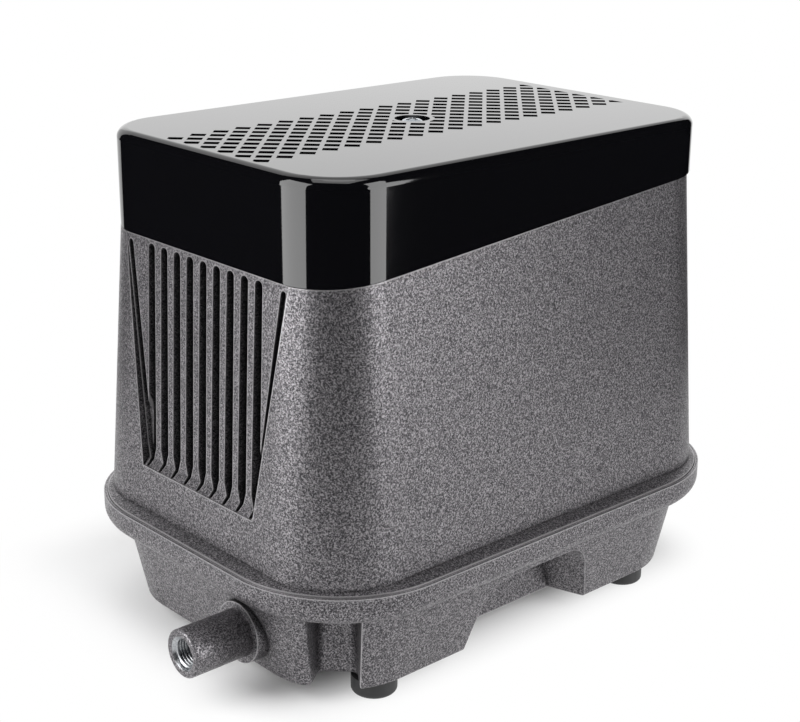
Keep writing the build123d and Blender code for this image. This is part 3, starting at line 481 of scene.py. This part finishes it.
@dataclass(frozen=True)
class CutMetal(Finish):
    """Bare machined or rolled metal.

    The eye sees fine streaks along the way that the tool or the rolls went.
    """

    dark: str
    stretch: Point
    line_mm: float = 0.4
    line_haze: float = 0.15
    line_relief_mm: float = 0.01

    def shade(
        self,
        tree: bpy.types.NodeTree,
        surface: bpy.types.NodeInputs,
        place: bpy.types.NodeSocket,
    ) -> None:
        """Adds the tool lines, stretched along the way the metal was cut."""
        surface["Metallic"].default_value = 1.0
        along = add_node(
            tree, "ShaderNodeMapping", {"Vector": place}, {"Scale": self.stretch}
        ).outputs["Vector"]
        lines = add_node(
            tree,
            "ShaderNodeTexNoise",
            {"Vector": along},
            {"Scale": per_metre(self.line_mm), "Detail": 3.0},
        ).outputs["Fac"]
        self._drive(
            tree,
            surface,
            lines,
            stops=((0.3, self.dark), (0.7, self.colour)),
            haze=(0.0, self.line_haze),
            relief_mm=self.line_relief_mm,
        )


@dataclass(frozen=True)
class StackedSteel(Finish):
    """Core stack of 0.5 mm electrical steel under brown varnish.

    The eye sees the edges of the sheets, one above the other. They are drawn
    2 mm apart, as coarse as they need to be to show.
    """

    gap: str = "#1c1b1a"
    # The sheets are really 0.5 mm thick, too fine to show
    sheet_mm: float = 2.0
    gap_depth_mm: float = 0.06
    varnished_metal: float = 0.8

    def shade(
        self,
        tree: bpy.types.NodeTree,
        surface: bpy.types.NodeInputs,
        place: bpy.types.NodeSocket,
    ) -> None:
        """Adds the edges of the sheets, which lie flat."""
        surface["Metallic"].default_value = self.varnished_metal
        sheets = add_node(
            tree,
            "ShaderNodeTexWave",
            {"Vector": place},
            {"Scale": wave_scale(self.sheet_mm), "Distortion": 0.4, "Detail": 2.0},
            bands_direction="Z",
        ).outputs["Fac"]
        self._drive(
            tree,
            surface,
            sheets,
            stops=((0.05, self.gap), (0.45, self.colour)),
            relief_mm=self.gap_depth_mm,
        )


@dataclass(frozen=True)
class WoundCopper(Finish):
    """Enamelled copper wire of 0.9 mm, wound in layers.

    The eye sees glossy amber ridges, with painted shade in the grooves between the turns.
    The turns are drawn 1.8 mm apart, as coarse as they need to be to show.
    """

    # Painted shade in the grooves between the turns
    shade_between_turns: str = "#3a1608"
    # The wire is really 0.9 mm thick, too fine to show
    turn_mm: float = 1.8
    groove_depth_mm: float = 0.2
    lacquer: float = 0.6
    lacquered_metal: float = 0.7

    def shade(
        self,
        tree: bpy.types.NodeTree,
        surface: bpy.types.NodeInputs,
        place: bpy.types.NodeSocket,
    ) -> None:
        """Adds the ridges of the turns, which lie side by side across the coil, with painted shade
        between them.
        """
        surface["Metallic"].default_value = self.lacquered_metal
        surface["Coat Weight"].default_value = self.lacquer
        turns = add_node(
            tree,
            "ShaderNodeTexWave",
            {"Vector": place},
            {"Scale": wave_scale(self.turn_mm), "Distortion": 0.6, "Detail": 1.0},
            bands_direction="X",
        ).outputs["Fac"]
        self._drive(
            tree,
            surface,
            turns,
            stops=((0.1, self.shade_between_turns), (0.6, self.colour)),
            relief_mm=self.groove_depth_mm,
        )


@dataclass(frozen=True)
class GrainedMoulding(Finish):
    """Injection-moulded nylon or pressed and sintered ferrite.

    The eye sees an even dull body, clouded a little by the flow, with a fine grain.
    """

    flow: str
    grain_mm: float
    ior: float
    flow_mm: float = 9.0
    flow_haze: float = 0.1
    grain_relief_mm: float = 0.02

    def shade(
        self,
        tree: bpy.types.NodeTree,
        surface: bpy.types.NodeInputs,
        place: bpy.types.NodeSocket,
    ) -> None:
        """Adds the flow clouds in the colour, and the grain of the mould or press."""
        surface["IOR"].default_value = self.ior
        cloud = add_node(
            tree,
            "ShaderNodeTexNoise",
            {"Vector": place},
            {"Scale": per_metre(self.flow_mm), "Detail": 3.0},
        ).outputs["Fac"]
        self._drive(
            tree,
            surface,
            cloud,
            stops=((0.3, self.colour), (0.75, self.flow)),
            haze=(0.0, self.flow_haze),
        )
        grain = add_node(
            tree,
            "ShaderNodeTexNoise",
            {"Vector": place},
            {"Scale": per_metre(self.grain_mm), "Detail": 1.0},
        ).outputs["Fac"]
        self._drive(tree, surface, grain, relief_mm=self.grain_relief_mm)


@dataclass(frozen=True)
class OpenCellFoam(Finish):
    """Reticulated polyether foam.

    The eye sees a dark sponge of open cells about 1.5 mm wide; the pits of the cells are painted
    darker than the struts, as painted shade.
    """

    strut: str = "#333336"
    cell_mm: float = 1.5
    cell_depth_mm: float = 0.9

    def shade(
        self,
        tree: bpy.types.NodeTree,
        surface: bpy.types.NodeInputs,
        place: bpy.types.NodeSocket,
    ) -> None:
        """Adds the open cells as pits between the struts, with painted shade in the pits."""
        cells = add_node(
            tree, "ShaderNodeTexVoronoi", {"Vector": place}, {"Scale": per_metre(self.cell_mm)}
        ).outputs["Distance"]
        self._drive(
            tree,
            surface,
            cells,
            # Painted shade: near black in the middle of each cell, lighter towards the struts
            stops=((0.25, self.colour), (0.7, self.strut)),
            relief_mm=self.cell_depth_mm,
        )


ENAMEL = HammertoneEnamel("hammertone_enamel_on_cast_aluminium", "#5d5b5e", 0.40)
CUT_ALUMINIUM = CutMetal("machined_aluminium", "#c9cbcd", 0.28, "#8d9094", (1.0, 0.15, 1.0))
ZINC = PlatedSteel("zinc_plated_steel", "#d4d8dc", 0.22)
# The foam's first colour is the painted shade in the cell pits; the struts are lighter
FOAM = OpenCellFoam("open_cell_filter_foam", "#0c0c0d", 0.9)

FINISHES: dict[Slot, Finish] = {
    Slot.GLOSS_ABS: GlossAbs("polished_black_abs", "#08080a", 0.03),
    Slot.CASTING: ENAMEL,
    Slot.RUBBER: MouldedRubber("moulded_black_rubber", "#18181a", 0.55),
    Slot.ZINC: ZINC,
    Slot.PLATE: CutMetal("rolled_aluminium_plate", "#b9bbbd", 0.35, "#8c8f92", (0.1, 1.0, 1.0)),
    Slot.LAMINATION: StackedSteel("stacked_electrical_steel", "#6e6862", 0.45),
    Slot.NYLON: GrainedMoulding("moulded_nylon_66", "#2b2b2d", 0.45, "#363639", 0.3, 1.53),
    Slot.WINDING: WoundCopper("enamelled_copper_wire", "#a8501f", 0.3),
    Slot.FERRITE: GrainedMoulding("sintered_ferrite", "#3a3b3e", 0.5, "#4a4b4f", 0.2, 2.2),
    Slot.FOAM: FOAM,
    Slot.BRASS: CutMetal("turned_brass", "#c9a04e", 0.25, "#96742f", (0.15, 1.0, 1.0)),
}


def link_mesh(
    name: str,
    build: Callable[[bmesh.types.BMesh], None],
    materials: Iterable[bpy.types.Material],
) -> bpy.types.Object:
    """Makes a mesh object from a function that fills a bmesh.

    Args:
        name: Name of the piece.
        build: Fills the empty bmesh, in metres.
        materials: Materials of the mesh's slots, in order.

    Returns:
        The linked object.
    """
    mesh = bpy.data.meshes.new(name)
    shell = bmesh.new()
    build(shell)
    bmesh.ops.recalc_face_normals(shell, faces=shell.faces)
    shell.to_mesh(mesh)
    shell.free()
    for material in materials:
        mesh.materials.append(material)
    piece = bpy.data.objects.new(name, mesh)
    bpy.context.scene.collection.objects.link(piece)
    return piece


def smooth(piece: bpy.types.Object, angle: float) -> None:
    """Shades a piece smooth, with hard edges where faces meet at more than angle degrees."""
    piece.data.shade_smooth()
    with bpy.context.temp_override(object=piece, active_object=piece, selected_objects=[piece]):
        bpy.ops.object.shade_auto_smooth(angle=math.radians(angle))


def join_rings(
    shell: bmesh.types.BMesh,
    rings: Sequence[Sequence[bmesh.types.BMVert]],
    slots: Iterable[int] | None = None,
) -> None:
    """Joins closed rings of vertices by quads.

    Args:
        shell: The bmesh that holds the rings.
        rings: Rings of equal length.
        slots: Material slot of the band after each ring, where they aren't all the first.
    """
    for ring, following, slot in zip(rings, rings[1:], slots or [0] * len(rings)):
        count = len(ring)
        for index in range(count):
            after = (index + 1) % count
            face = shell.faces.new((ring[index], ring[after], following[after], following[index]))
            face.material_index = slot


class TurnedPiece(ABC):
    """A piece turned round its own axis and drawn in its own millimetres."""

    segments: int

    @abstractmethod
    def _at(self, across: float, up: float, along: float) -> Point:
        """Place on the object, in metres, of a point given across, up and along the axis."""

    def _ring(
        self, shell: bmesh.types.BMesh, radius: Radius, along: float
    ) -> list[bmesh.types.BMVert]:
        """Adds a closed ring of vertices round the axis.

        Args:
            shell: The bmesh that takes the ring.
            radius: Radius, or a function that gives it for each share of the turn.
            along: Place along the axis.

        Returns:
            The vertices of the ring, in order.
        """
        verts = []
        for index in range(self.segments):
            share = index / self.segments
            reach = radius(share) if callable(radius) else radius
            across = reach * math.cos(math.tau * share)
            up = reach * math.sin(math.tau * share)
            verts.append(shell.verts.new(self._at(across, up, along)))
        return verts


class SpigotSkin(IntEnum):
    """Material slots of the spigot."""

    ENAMELLED = 0
    BARE = 1


@dataclass
class OutletSpigot(TurnedPiece):
    """Screwed outlet stub: enamelled outside, with a bare G 1/4 female thread.

    The thread's pitch and its two radii are those of the standard pipe thread. Depths
    count from the open end.
    """

    outer_radius: float = 10.0
    neck_step: float = 1.0
    neck_length: float = 16.3
    lip: float = 0.8
    lip_start: float = 0.96
    lip_steps: int = 4
    mouth_radius: float = 7.1
    mouth_chamfer: float = 0.25
    mouth_chamfer_depth: float = 0.15
    thread_start: float = 1.4
    thread_minor: float = 5.72
    thread_major: float = 6.58
    thread_pitch: float = 1.337
    thread_length: float = 14.5
    thread_clearance: float = 0.12
    flank_gain: float = 1.25
    flank_offset: float = 0.1
    bore_radius: float = 4.5
    weld: float = 0.001
    segments: int = 72
    steps_per_turn: int = 6

    def __post_init__(self) -> None:
        """Reads where the CAD spigot is."""
        low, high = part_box("outlet_spigot")
        self._tip = low.y
        self._length = (high.y - low.y) / MM
        self._middle = (low + high) / 2

    def build(self) -> bpy.types.Object:
        """Builds the stub over the CAD spigot.

        Returns:
            The piece, which stands for the CAD spigot.
        """
        piece = link_mesh(
            "outlet_spigot_threaded", self._fill, (ENAMEL.material(), CUT_ALUMINIUM.material())
        )
        smooth(piece, 40.0)
        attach(piece, "root")
        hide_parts("outlet_spigot")
        return piece

    def _at(self, across: float, up: float, along: float) -> Point:
        """Place on the object of a point whose depth is along."""
        return self._middle.x + across * MM, self._tip + along * MM, self._middle.z + up * MM

    def _thread_radius(self, depth: float, share: float) -> float:
        """Radius of the thread's rounded V at a depth and a share of the turn."""
        runout = min(1.0, max(0.0, (self.thread_length - depth) / self.thread_pitch))
        phase = (depth / self.thread_pitch - share) % 1.0
        flank = self.flank_gain * (0.5 - 0.5 * math.cos(math.tau * phase)) - self.flank_offset
        crest = self.thread_minor - self.thread_clearance
        return crest + (self.thread_major - crest) * runout * min(1.0, max(0.0, flank))

    def _rows(self) -> Iterator[tuple[SpigotSkin, Radius, float]]:
        """Yields the skin before each ring, its radius and its depth, round the whole section."""
        neck = self.outer_radius - self.neck_step
        neck_depth = self._length - self.neck_length
        yield SpigotSkin.BARE, self.bore_radius, self._length
        yield SpigotSkin.BARE, neck, self._length
        yield SpigotSkin.BARE, neck, neck_depth
        yield SpigotSkin.ENAMELLED, self.outer_radius, neck_depth
        yield SpigotSkin.ENAMELLED, self.outer_radius, self.lip_start
        for step in range(1, self.lip_steps + 1):
            angle = step / self.lip_steps * math.pi / 2
            radius = self.outer_radius - self.lip * (1 - math.cos(angle))
            yield SpigotSkin.ENAMELLED, radius, self.lip * (1 - math.sin(angle))
        yield SpigotSkin.ENAMELLED, self.mouth_radius + self.mouth_chamfer, 0.0
        yield SpigotSkin.ENAMELLED, self.mouth_radius, self.mouth_chamfer_depth
        depth = self.thread_start
        while depth < self.thread_length:
            yield SpigotSkin.BARE, partial(self._thread_radius, depth), depth
            depth += self.thread_pitch / self.steps_per_turn
        yield SpigotSkin.BARE, self.thread_minor, self.thread_length
        yield SpigotSkin.BARE, self.bore_radius, self.thread_length
        yield SpigotSkin.BARE, self.bore_radius, self._length

    def _fill(self, shell: bmesh.types.BMesh) -> None:
        """Fills the bmesh with the section turned round, whose last ring meets its first."""
        rows = list(self._rows())
        rings = [self._ring(shell, radius, depth) for _, radius, depth in rows]
        join_rings(shell, rings, [skin for skin, _, _ in rows[1:]])
        bmesh.ops.remove_doubles(shell, verts=shell.verts, dist=self.weld * MM)


@dataclass
class LidScrew(TurnedPiece):
    """Zinc-plated M5 pan head screw with its washers, whose head fills the pocket of the lid.

    The head is domed and has a cross recess, and the shank has its whole thread.
    """

    head_radius: float = 4.75
    head_height: float = 3.4
    head_edge: float = 0.2
    rim_height: float = 1.7
    dome_fullness: float = 3.0
    dome_rings: int = 26
    top_under_lid: float = 0.1
    recess_reach: float = 2.7
    recess_half_width: float = 0.55
    recess_depth: float = 1.9
    recess_taper: float = 0.5
    washer_radius: float = 5.3
    washer_height: float = 1.0
    washer_edge: float = 0.15
    spring_radius: float = 4.5
    spring_edge: float = 0.1
    spring_gap: float = 0.25
    washer_clearance: float = 0.6
    shank_radius: float = 2.47
    thread_root: float = 2.07
    thread_pitch: float = 0.8
    thread_runout: float = 1.0
    point_chamfer: float = 0.3
    point_middle: float = 0.05
    steps_per_turn: int = 4
    segments: int = 96

    def __post_init__(self) -> None:
        """Reads the heights of the tip, of the washers' seat and of the underside of the head."""
        low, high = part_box("lid_screw")
        self._tip = low.z / MM
        self._seat = high.z / MM - self.head_height
        self._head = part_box("lid")[1].z / MM - self.top_under_lid - self.head_height

    def build(self) -> bpy.types.Object:
        """Builds the screw on the axis of the CAD screw, down to the same tip.

        Returns:
            The piece, which stands for the CAD screw.
        """
        piece = link_mesh("lid_screw_with_washers", self._fill, (ZINC.material(),))
        smooth(piece, 40.0)
        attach(piece, "lid_screw")
        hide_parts("lid_screw")
        return piece

    def _at(self, across: float, up: float, along: float) -> Point:
        """Place on the object of a point whose height is along."""
        return across * MM, up * MM, along * MM

    def _thread_radius(self, turns: float, share: float) -> float:
        """Radius of the thread's V after some turns from the tip, at a share of the turn."""
        phase = (turns - share) % 1.0
        return self.thread_root + (self.shank_radius - self.thread_root) * abs(2 * phase - 1)

    def _shank(self) -> Iterator[tuple[Radius, float]]:
        """Yields the radius and the height of the shank's rings, up from the tip."""
        yield self.point_middle, self._tip
        yield self.thread_root - self.point_chamfer, self._tip
        length = self._seat - self._tip - self.thread_runout
        for step in range(1, int(length / self.thread_pitch * self.steps_per_turn)):
            turns = step / self.steps_per_turn
            yield partial(self._thread_radius, turns), self._tip + turns * self.thread_pitch
        yield self.thread_root, self._seat

    def _washer(
        self, radius: float, edge: float, bottom: float, top: float
    ) -> Iterator[tuple[Radius, float]]:
        """Yields the rings of a washer with rounded edges, and of the gap in which it turns."""
        yield radius - edge, bottom
        yield radius, bottom + edge
        yield radius, top - edge
        yield radius - edge, top
        yield self.shank_radius + self.washer_clearance, top

    def _below_dome(self) -> Iterator[tuple[Radius, float]]:
        """Yields the radius and the height of every ring up to the rim of the head."""
        inner = self.shank_radius + self.washer_clearance
        washer_top = self._seat + self.washer_height
        spring_bottom = washer_top + self.spring_gap
        spring_top = self._head - self.spring_gap
        yield from self._shank()
        yield from self._washer(self.washer_radius, self.washer_edge, self._seat, washer_top)
        yield inner, spring_bottom
        yield from self._washer(self.spring_radius, self.spring_edge, spring_bottom, spring_top)
        yield inner, self._head
        yield self.head_radius - self.head_edge, self._head
        yield self.head_radius, self._head + self.head_edge
        yield self.head_radius, self._head + self.rim_height

    def _recess(self, across: float, up: float) -> float:
        """Depth of the cross recess at a place on the head."""
        arms = []
        for along, aside in ((across, up), (up, across)):
            inside = min(self.recess_reach - abs(along), self.recess_half_width - abs(aside))
            arms.append(min(1.0, max(0.0, 0.5 + inside / self.recess_taper)))
        return self.recess_depth * max(arms)

    def _fill(self, shell: bmesh.types.BMesh) -> None:
        """Fills the bmesh with the shank, the washers and the head, from the tip up."""
        rings = [self._ring(shell, radius, height) for radius, height in self._below_dome()]
        for step in range(1, self.dome_rings):
            share = math.sin(math.pi / 2 * (1 - step / self.dome_rings))
            dome = (self.head_height - self.rim_height) * math.sqrt(1 - share**self.dome_fullness)
            height = self._head + self.rim_height + dome
            rings.append(self._ring(shell, self.head_radius * share, height))
            for vert in rings[-1]:
                vert.co.z -= self._recess(vert.co.x / MM, vert.co.y / MM) * MM
        join_rings(shell, rings)
        shell.faces.new(rings[0])
        shell.faces.new(rings[-1])


@dataclass
class FilterMat:
    """Cut foam mat under the lid, soft at its edges and a little uneven on top.

    Each row of the section gives how far it lies inside the outline, the share of the
    thickness that it starts from and what is added to that, the first and last of them
    in edge radii. The mat has a hole for the lid post.
    """

    edge: float = 1.6
    section: tuple[tuple[float, float, float], ...] = (
        (2.2, 0.0, 0.0),
        (0.3, 0.0, 0.3),
        (0.0, 0.0, 1.0),
        (0.15, 0.5, 0.0),
        (0.0, 1.0, -1.4),
        (0.35, 1.0, -0.55),
        (1.3, 1.0, -0.2),
        (3.5, 1.0, -0.09375),
    )
    corner_radius: float = 15.0
    hole_radius: float = 10.0
    top_steps: int = 7
    segments: int = 160
    top_drop: float = 0.5
    unevenness: float = 0.25
    lump_mm: float = 25.0

    def __post_init__(self) -> None:
        """Reads the space of the CAD foam."""
        self._low, self._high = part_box("filter_foam")

    def build(self) -> bpy.types.Object:
        """Builds the mat in the space of the CAD foam.

        Returns:
            The piece, which stands for the CAD foam.
        """
        piece = link_mesh("filter_foam_mat", self._fill, (FOAM.material(),))
        smooth(piece, 50.0)
        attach(piece, "root")
        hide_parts("filter_foam")
        return piece

    def _fill(self, shell: bmesh.types.BMesh) -> None:
        """Fills the bmesh with the mat, its soft edges and its hole."""
        low, high = self._low.z, self._high.z
        edge = self.edge * MM
        rings = []
        for inset, start, offset in self.section:
            height = low + start * (high - low) + offset * edge
            outline = (self._outline(i / self.segments, inset * edge) for i in range(self.segments))
            rings.append([shell.verts.new((place.x, place.y, height)) for place in outline])
        rim = rings[-1]
        for step in range(1, self.top_steps + 1):
            rings.append([self._top_vert(shell, v.co, step / self.top_steps) for v in rim])
        for height in (low + edge, low):
            rings.append([shell.verts.new((v.co.x, v.co.y, height)) for v in rings[-1]])
        join_rings(shell, rings + [rings[0]])

    def _top_vert(
        self, shell: bmesh.types.BMesh, start: Vector, share: float
    ) -> bmesh.types.BMVert:
        """Adds a vertex of the top at a share of the way from the rim to the hole."""
        turn = math.atan2(start.y, start.x)
        hole = Vector((math.cos(turn), math.sin(turn), 0)) * self.hole_radius * MM
        place = start.lerp(Vector((hole.x, hole.y, start.z)), share)
        lump = noise.noise(Vector((place.x, place.y, 0)) * per_metre(self.lump_mm))
        height = self._high.z - self.top_drop * MM + self.unevenness * MM * lump
        return shell.verts.new((place.x, place.y, height))

    def _outline(self, share: float, inset: float) -> Vector:
        """Point at a share of the way round the mat, moved in from its rounded outline."""
        half_x = (self._high.x - self._low.x) / 2 - inset
        half_y = (self._high.y - self._low.y) / 2 - inset
        radius = self.corner_radius * MM
        turn = math.tau * share
        direction = Vector((math.cos(turn), math.sin(turn)))
        place = direction * min(
            half / max(abs(part), TINY) for half, part in zip((half_x, half_y), direction)
        )
        corner = Vector((half_x - radius, half_y - radius))
        if abs(place.x) > corner.x and abs(place.y) > corner.y:
            centre = Vector((math.copysign(corner.x, place.x), math.copysign(corner.y, place.y)))
            nearest = centre.dot(direction)
            beyond = math.sqrt(max(0.0, nearest**2 - centre.length_squared + radius**2))
            place = direction * (nearest + beyond)
        return place


@dataclass
class PumpBody:
    """The carried-over CAD nodes, each with the finish of its material slot."""

    nodes: Mapping[str, bpy.types.Object]
    record: Mapping[str, Any]

    def dress(self) -> None:
        """Gives every CAD node its finish."""
        for row in self.record["subparts"]:
            mesh = self.nodes[row["node"]].data
            finish = FINISHES[Slot(row["material_slot"])]
            mesh.materials.clear()
            mesh.materials.append(finish.material())
            for polygon in mesh.polygons:
                polygon.material_index = 0
            LOG.info("dressed %s in %s", row["node"], finish.name)


@dataclass(frozen=True)
class Softbox:
    """A rectangular lamp that faces a point."""

    name: str
    place: Point
    facing: Point
    width: float
    height: float
    radiance: float

    def build(self) -> None:
        """Adds the lamp, with its power worked out from the radiance of its face."""
        lamp = bpy.data.lights.new(self.name, "AREA")
        lamp.shape = "RECTANGLE"
        lamp.size = self.width
        lamp.size_y = self.height
        lamp.energy = self.radiance * self.width * self.height * math.pi
        piece = bpy.data.objects.new(self.name, lamp)
        piece.location = self.place
        aim = Vector(self.facing) - Vector(self.place)
        piece.rotation_euler = aim.to_track_quat("-Z", "Y").to_euler()
        piece.visible_camera = False
        bpy.context.scene.collection.objects.link(piece)


# The two upright strips that the lid's near corner shows are the softboxes left and right.
LAMPS = (
    Softbox(
        name="softbox_left",
        place=(-0.113, -0.506, 0.28),
        facing=(0.055, -0.108, 0.20),
        width=0.390,
        height=0.59,
        radiance=4.4,
    ),
    Softbox(
        name="softbox_right",
        place=(0.523, 0.141, 0.30),
        facing=(0.0752, -0.0736, 0.20),
        width=0.295,
        height=0.66,
        radiance=4.5,
    ),
    Softbox(
        name="softbox_back",
        place=(-0.95, 0.95, 0.42),
        facing=(0.0, 0.0, 0.20),
        width=1.6,
        height=0.7,
        radiance=0.45,
    ),
    Softbox(
        name="softbox_top",
        place=(0.10, -0.15, 1.30),
        facing=(0.0, 0.0, 0.1),
        width=0.9,
        height=0.9,
        radiance=2.2,
    ),
)


@dataclass
class Studio:
    """Pale floor, soft lamps, a dark flag that only reflections see, and the camera."""

    camera_place: Point = (0.4980, -0.4582, 0.3392)
    camera_aim: Point = (0.0094, -0.0143, 0.1124)
    camera_roll: float = 0.49
    focal_px: float = 1622.96
    image_width: int = 800
    sensor_width: float = 36.0
    clip: tuple[float, float] = (0.01, 50.0)
    floor_half: float = 6.0
    floor_squares: int = 24
    shadow_middle: Point = (-0.040, -0.002, 0.0)
    shadow_half: Point = (0.078, 0.104, 0.0)
    shadow_fade: float = 0.045
    fill: float = 0.28
    backdrop: float = 1.0
    flag_angles: tuple[float, float] = (-170.0, 100.0)
    flag_profile: tuple[tuple[float, float], ...] = (
        (0.42, 0.002),
        (1.4, 0.002),
        (1.4, 0.9),
        (0.9, 1.6),
        (0.35, 1.75),
    )
    flag_steps: int = 40
    lamps: tuple[Softbox, ...] = LAMPS

    def build(self) -> None:
        """Builds the whole studio."""
        self._camera()
        self._floor()
        self._world()
        self._flags()
        for lamp in self.lamps:
            lamp.build()
        bpy.context.scene.view_settings.view_transform = "Standard"

    def _camera(self) -> None:
        """Adds the camera of the photograph, for an image 800 pixels wide."""
        data = bpy.data.cameras.new("photo_camera")
        data.sensor_width = self.sensor_width
        data.lens = self.focal_px * self.sensor_width / self.image_width
        data.clip_start, data.clip_end = self.clip
        camera = bpy.data.objects.new("photo_camera", data)
        aim = Vector(self.camera_aim) - Vector(self.camera_place)
        turn = aim.to_track_quat("-Z", "Y").to_matrix().to_4x4()
        roll = Matrix.Rotation(math.radians(self.camera_roll), 4, "Z")
        camera.matrix_world = Matrix.Translation(self.camera_place) @ turn @ roll
        bpy.context.scene.collection.objects.link(camera)
        bpy.context.scene.camera = camera

    def _floor(self) -> None:
        """Adds the floor, white paper that takes the shadow and shows pure white beyond it."""

        def sheet(shell: bmesh.types.BMesh) -> None:
            """Fills the bmesh with a flat grid."""
            squares = self.floor_squares
            bmesh.ops.create_grid(
                shell, x_segments=squares, y_segments=squares, size=self.floor_half
            )

        material = bpy.data.materials.new("white_paper_floor")
        material.use_nodes = True
        tree = material.node_tree
        shader = tree.nodes["Principled BSDF"]
        shader.inputs["Base Color"].default_value = linear("#fafafa")
        shader.inputs["Roughness"].default_value = 0.9
        shader.inputs["Specular IOR Level"].default_value = 0.1
        # Distance outside the rectangle that holds the shadow
        place = add_node(tree, "ShaderNodeTexCoord").outputs["Object"]
        for operation, operand in (
            ("SUBTRACT", self.shadow_middle),
            ("ABSOLUTE", (0.0, 0.0, 0.0)),
            ("SUBTRACT", self.shadow_half),
            ("MAXIMUM", (0.0, 0.0, 0.0)),
        ):
            place = add_node(
                tree, "ShaderNodeVectorMath", {0: place}, {1: operand}, operation=operation
            ).outputs[0]
        distance = add_node(
            tree, "ShaderNodeVectorMath", {0: place}, operation="LENGTH"
        ).outputs["Value"]
        beyond = add_node(
            tree,
            "ShaderNodeMapRange",
            {"Value": distance},
            {"From Max": self.shadow_fade},
            interpolation_type="SMOOTHSTEP",
        ).outputs["Result"]
        share = add_node(
            tree, "ShaderNodeMath", {0: beyond, 1: seen_rays(tree)}, operation="MULTIPLY"
        ).outputs[0]
        white = add_node(
            tree, "ShaderNodeEmission", None, {"Color": linear("#ffffff"), "Strength": 1.0}
        ).outputs[0]
        add_node(
            tree,
            "ShaderNodeMixShader",
            {0: share, 1: shader.outputs[0], 2: white},
            into=tree.nodes["Material Output"].inputs["Surface"],
        )
        floor = link_mesh("studio_floor", sheet, (material,))

    def _world(self) -> None:
        """Sets a white backdrop for what the camera and shiny surfaces see, and a soft fill."""
        world = bpy.data.worlds.new("studio_backdrop")
        world.use_nodes = True
        bpy.context.scene.world = world
        tree = world.node_tree
        tree.nodes.clear()
        light, seen = (
            add_node(
                tree,
                "ShaderNodeBackground",
                None,
                {"Color": linear("#ffffff"), "Strength": strength},
            ).outputs[0]
            for strength in (self.fill, self.backdrop)
        )
        mix = add_node(tree, "ShaderNodeMixShader", {0: seen_rays(tree), 1: light, 2: seen})
        add_node(tree, "ShaderNodeOutputWorld", {"Surface": mix.outputs[0]})

    def _flags(self) -> None:
        """Adds one black cloth flag round the camera's side of the set, which only mirrors see.

        It lies on the floor beyond the picture, stands up as a wall and leans in over the camera.
        """
        material = bpy.data.materials.new("black_flag_cloth")
        material.use_nodes = True
        surface = material.node_tree.nodes["Principled BSDF"].inputs
        surface["Base Color"].default_value = linear("#050505")
        surface["Roughness"].default_value = 1.0
        surface["Specular IOR Level"].default_value = 0.0

        def sheet(shell: bmesh.types.BMesh) -> None:
            """Fills the bmesh with the flag's profile swept round the set."""
            first, last = (math.radians(angle) for angle in self.flag_angles)
            steps = range(self.flag_steps + 1)
            turns = [first + (last - first) * step / self.flag_steps for step in steps]
            rows = [
                [
                    shell.verts.new((radius * math.cos(turn), radius * math.sin(turn), height))
                    for turn in turns
                ]
                for radius, height in self.flag_profile
            ]
            for lower, upper in zip(rows, rows[1:]):
                for corners in zip(lower, lower[1:], upper[1:], upper):
                    shell.faces.new(corners)

        flag = link_mesh("flag_surround", sheet, (material,))
        flag.visible_camera = False
        flag.visible_diffuse = False
        flag.visible_shadow = False
        flag.visible_transmission = False
        flag.visible_volume_scatter = False


def main() -> None:
    """Loads the frame, dresses it, adds the fine pieces and lights them."""
    logging.basicConfig(level=logging.INFO, format="%(name)s: %(message)s")
    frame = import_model()
    Studio().build()
    PumpBody(frame["nodes"], frame["record"]).dress()
    for assembly in (OutletSpigot(), LidScrew(), FilterMat()):
        LOG.info("built %s", assembly.build().name)
    bpy.context.view_layer.update()


if __name__ == "__main__":
    main()
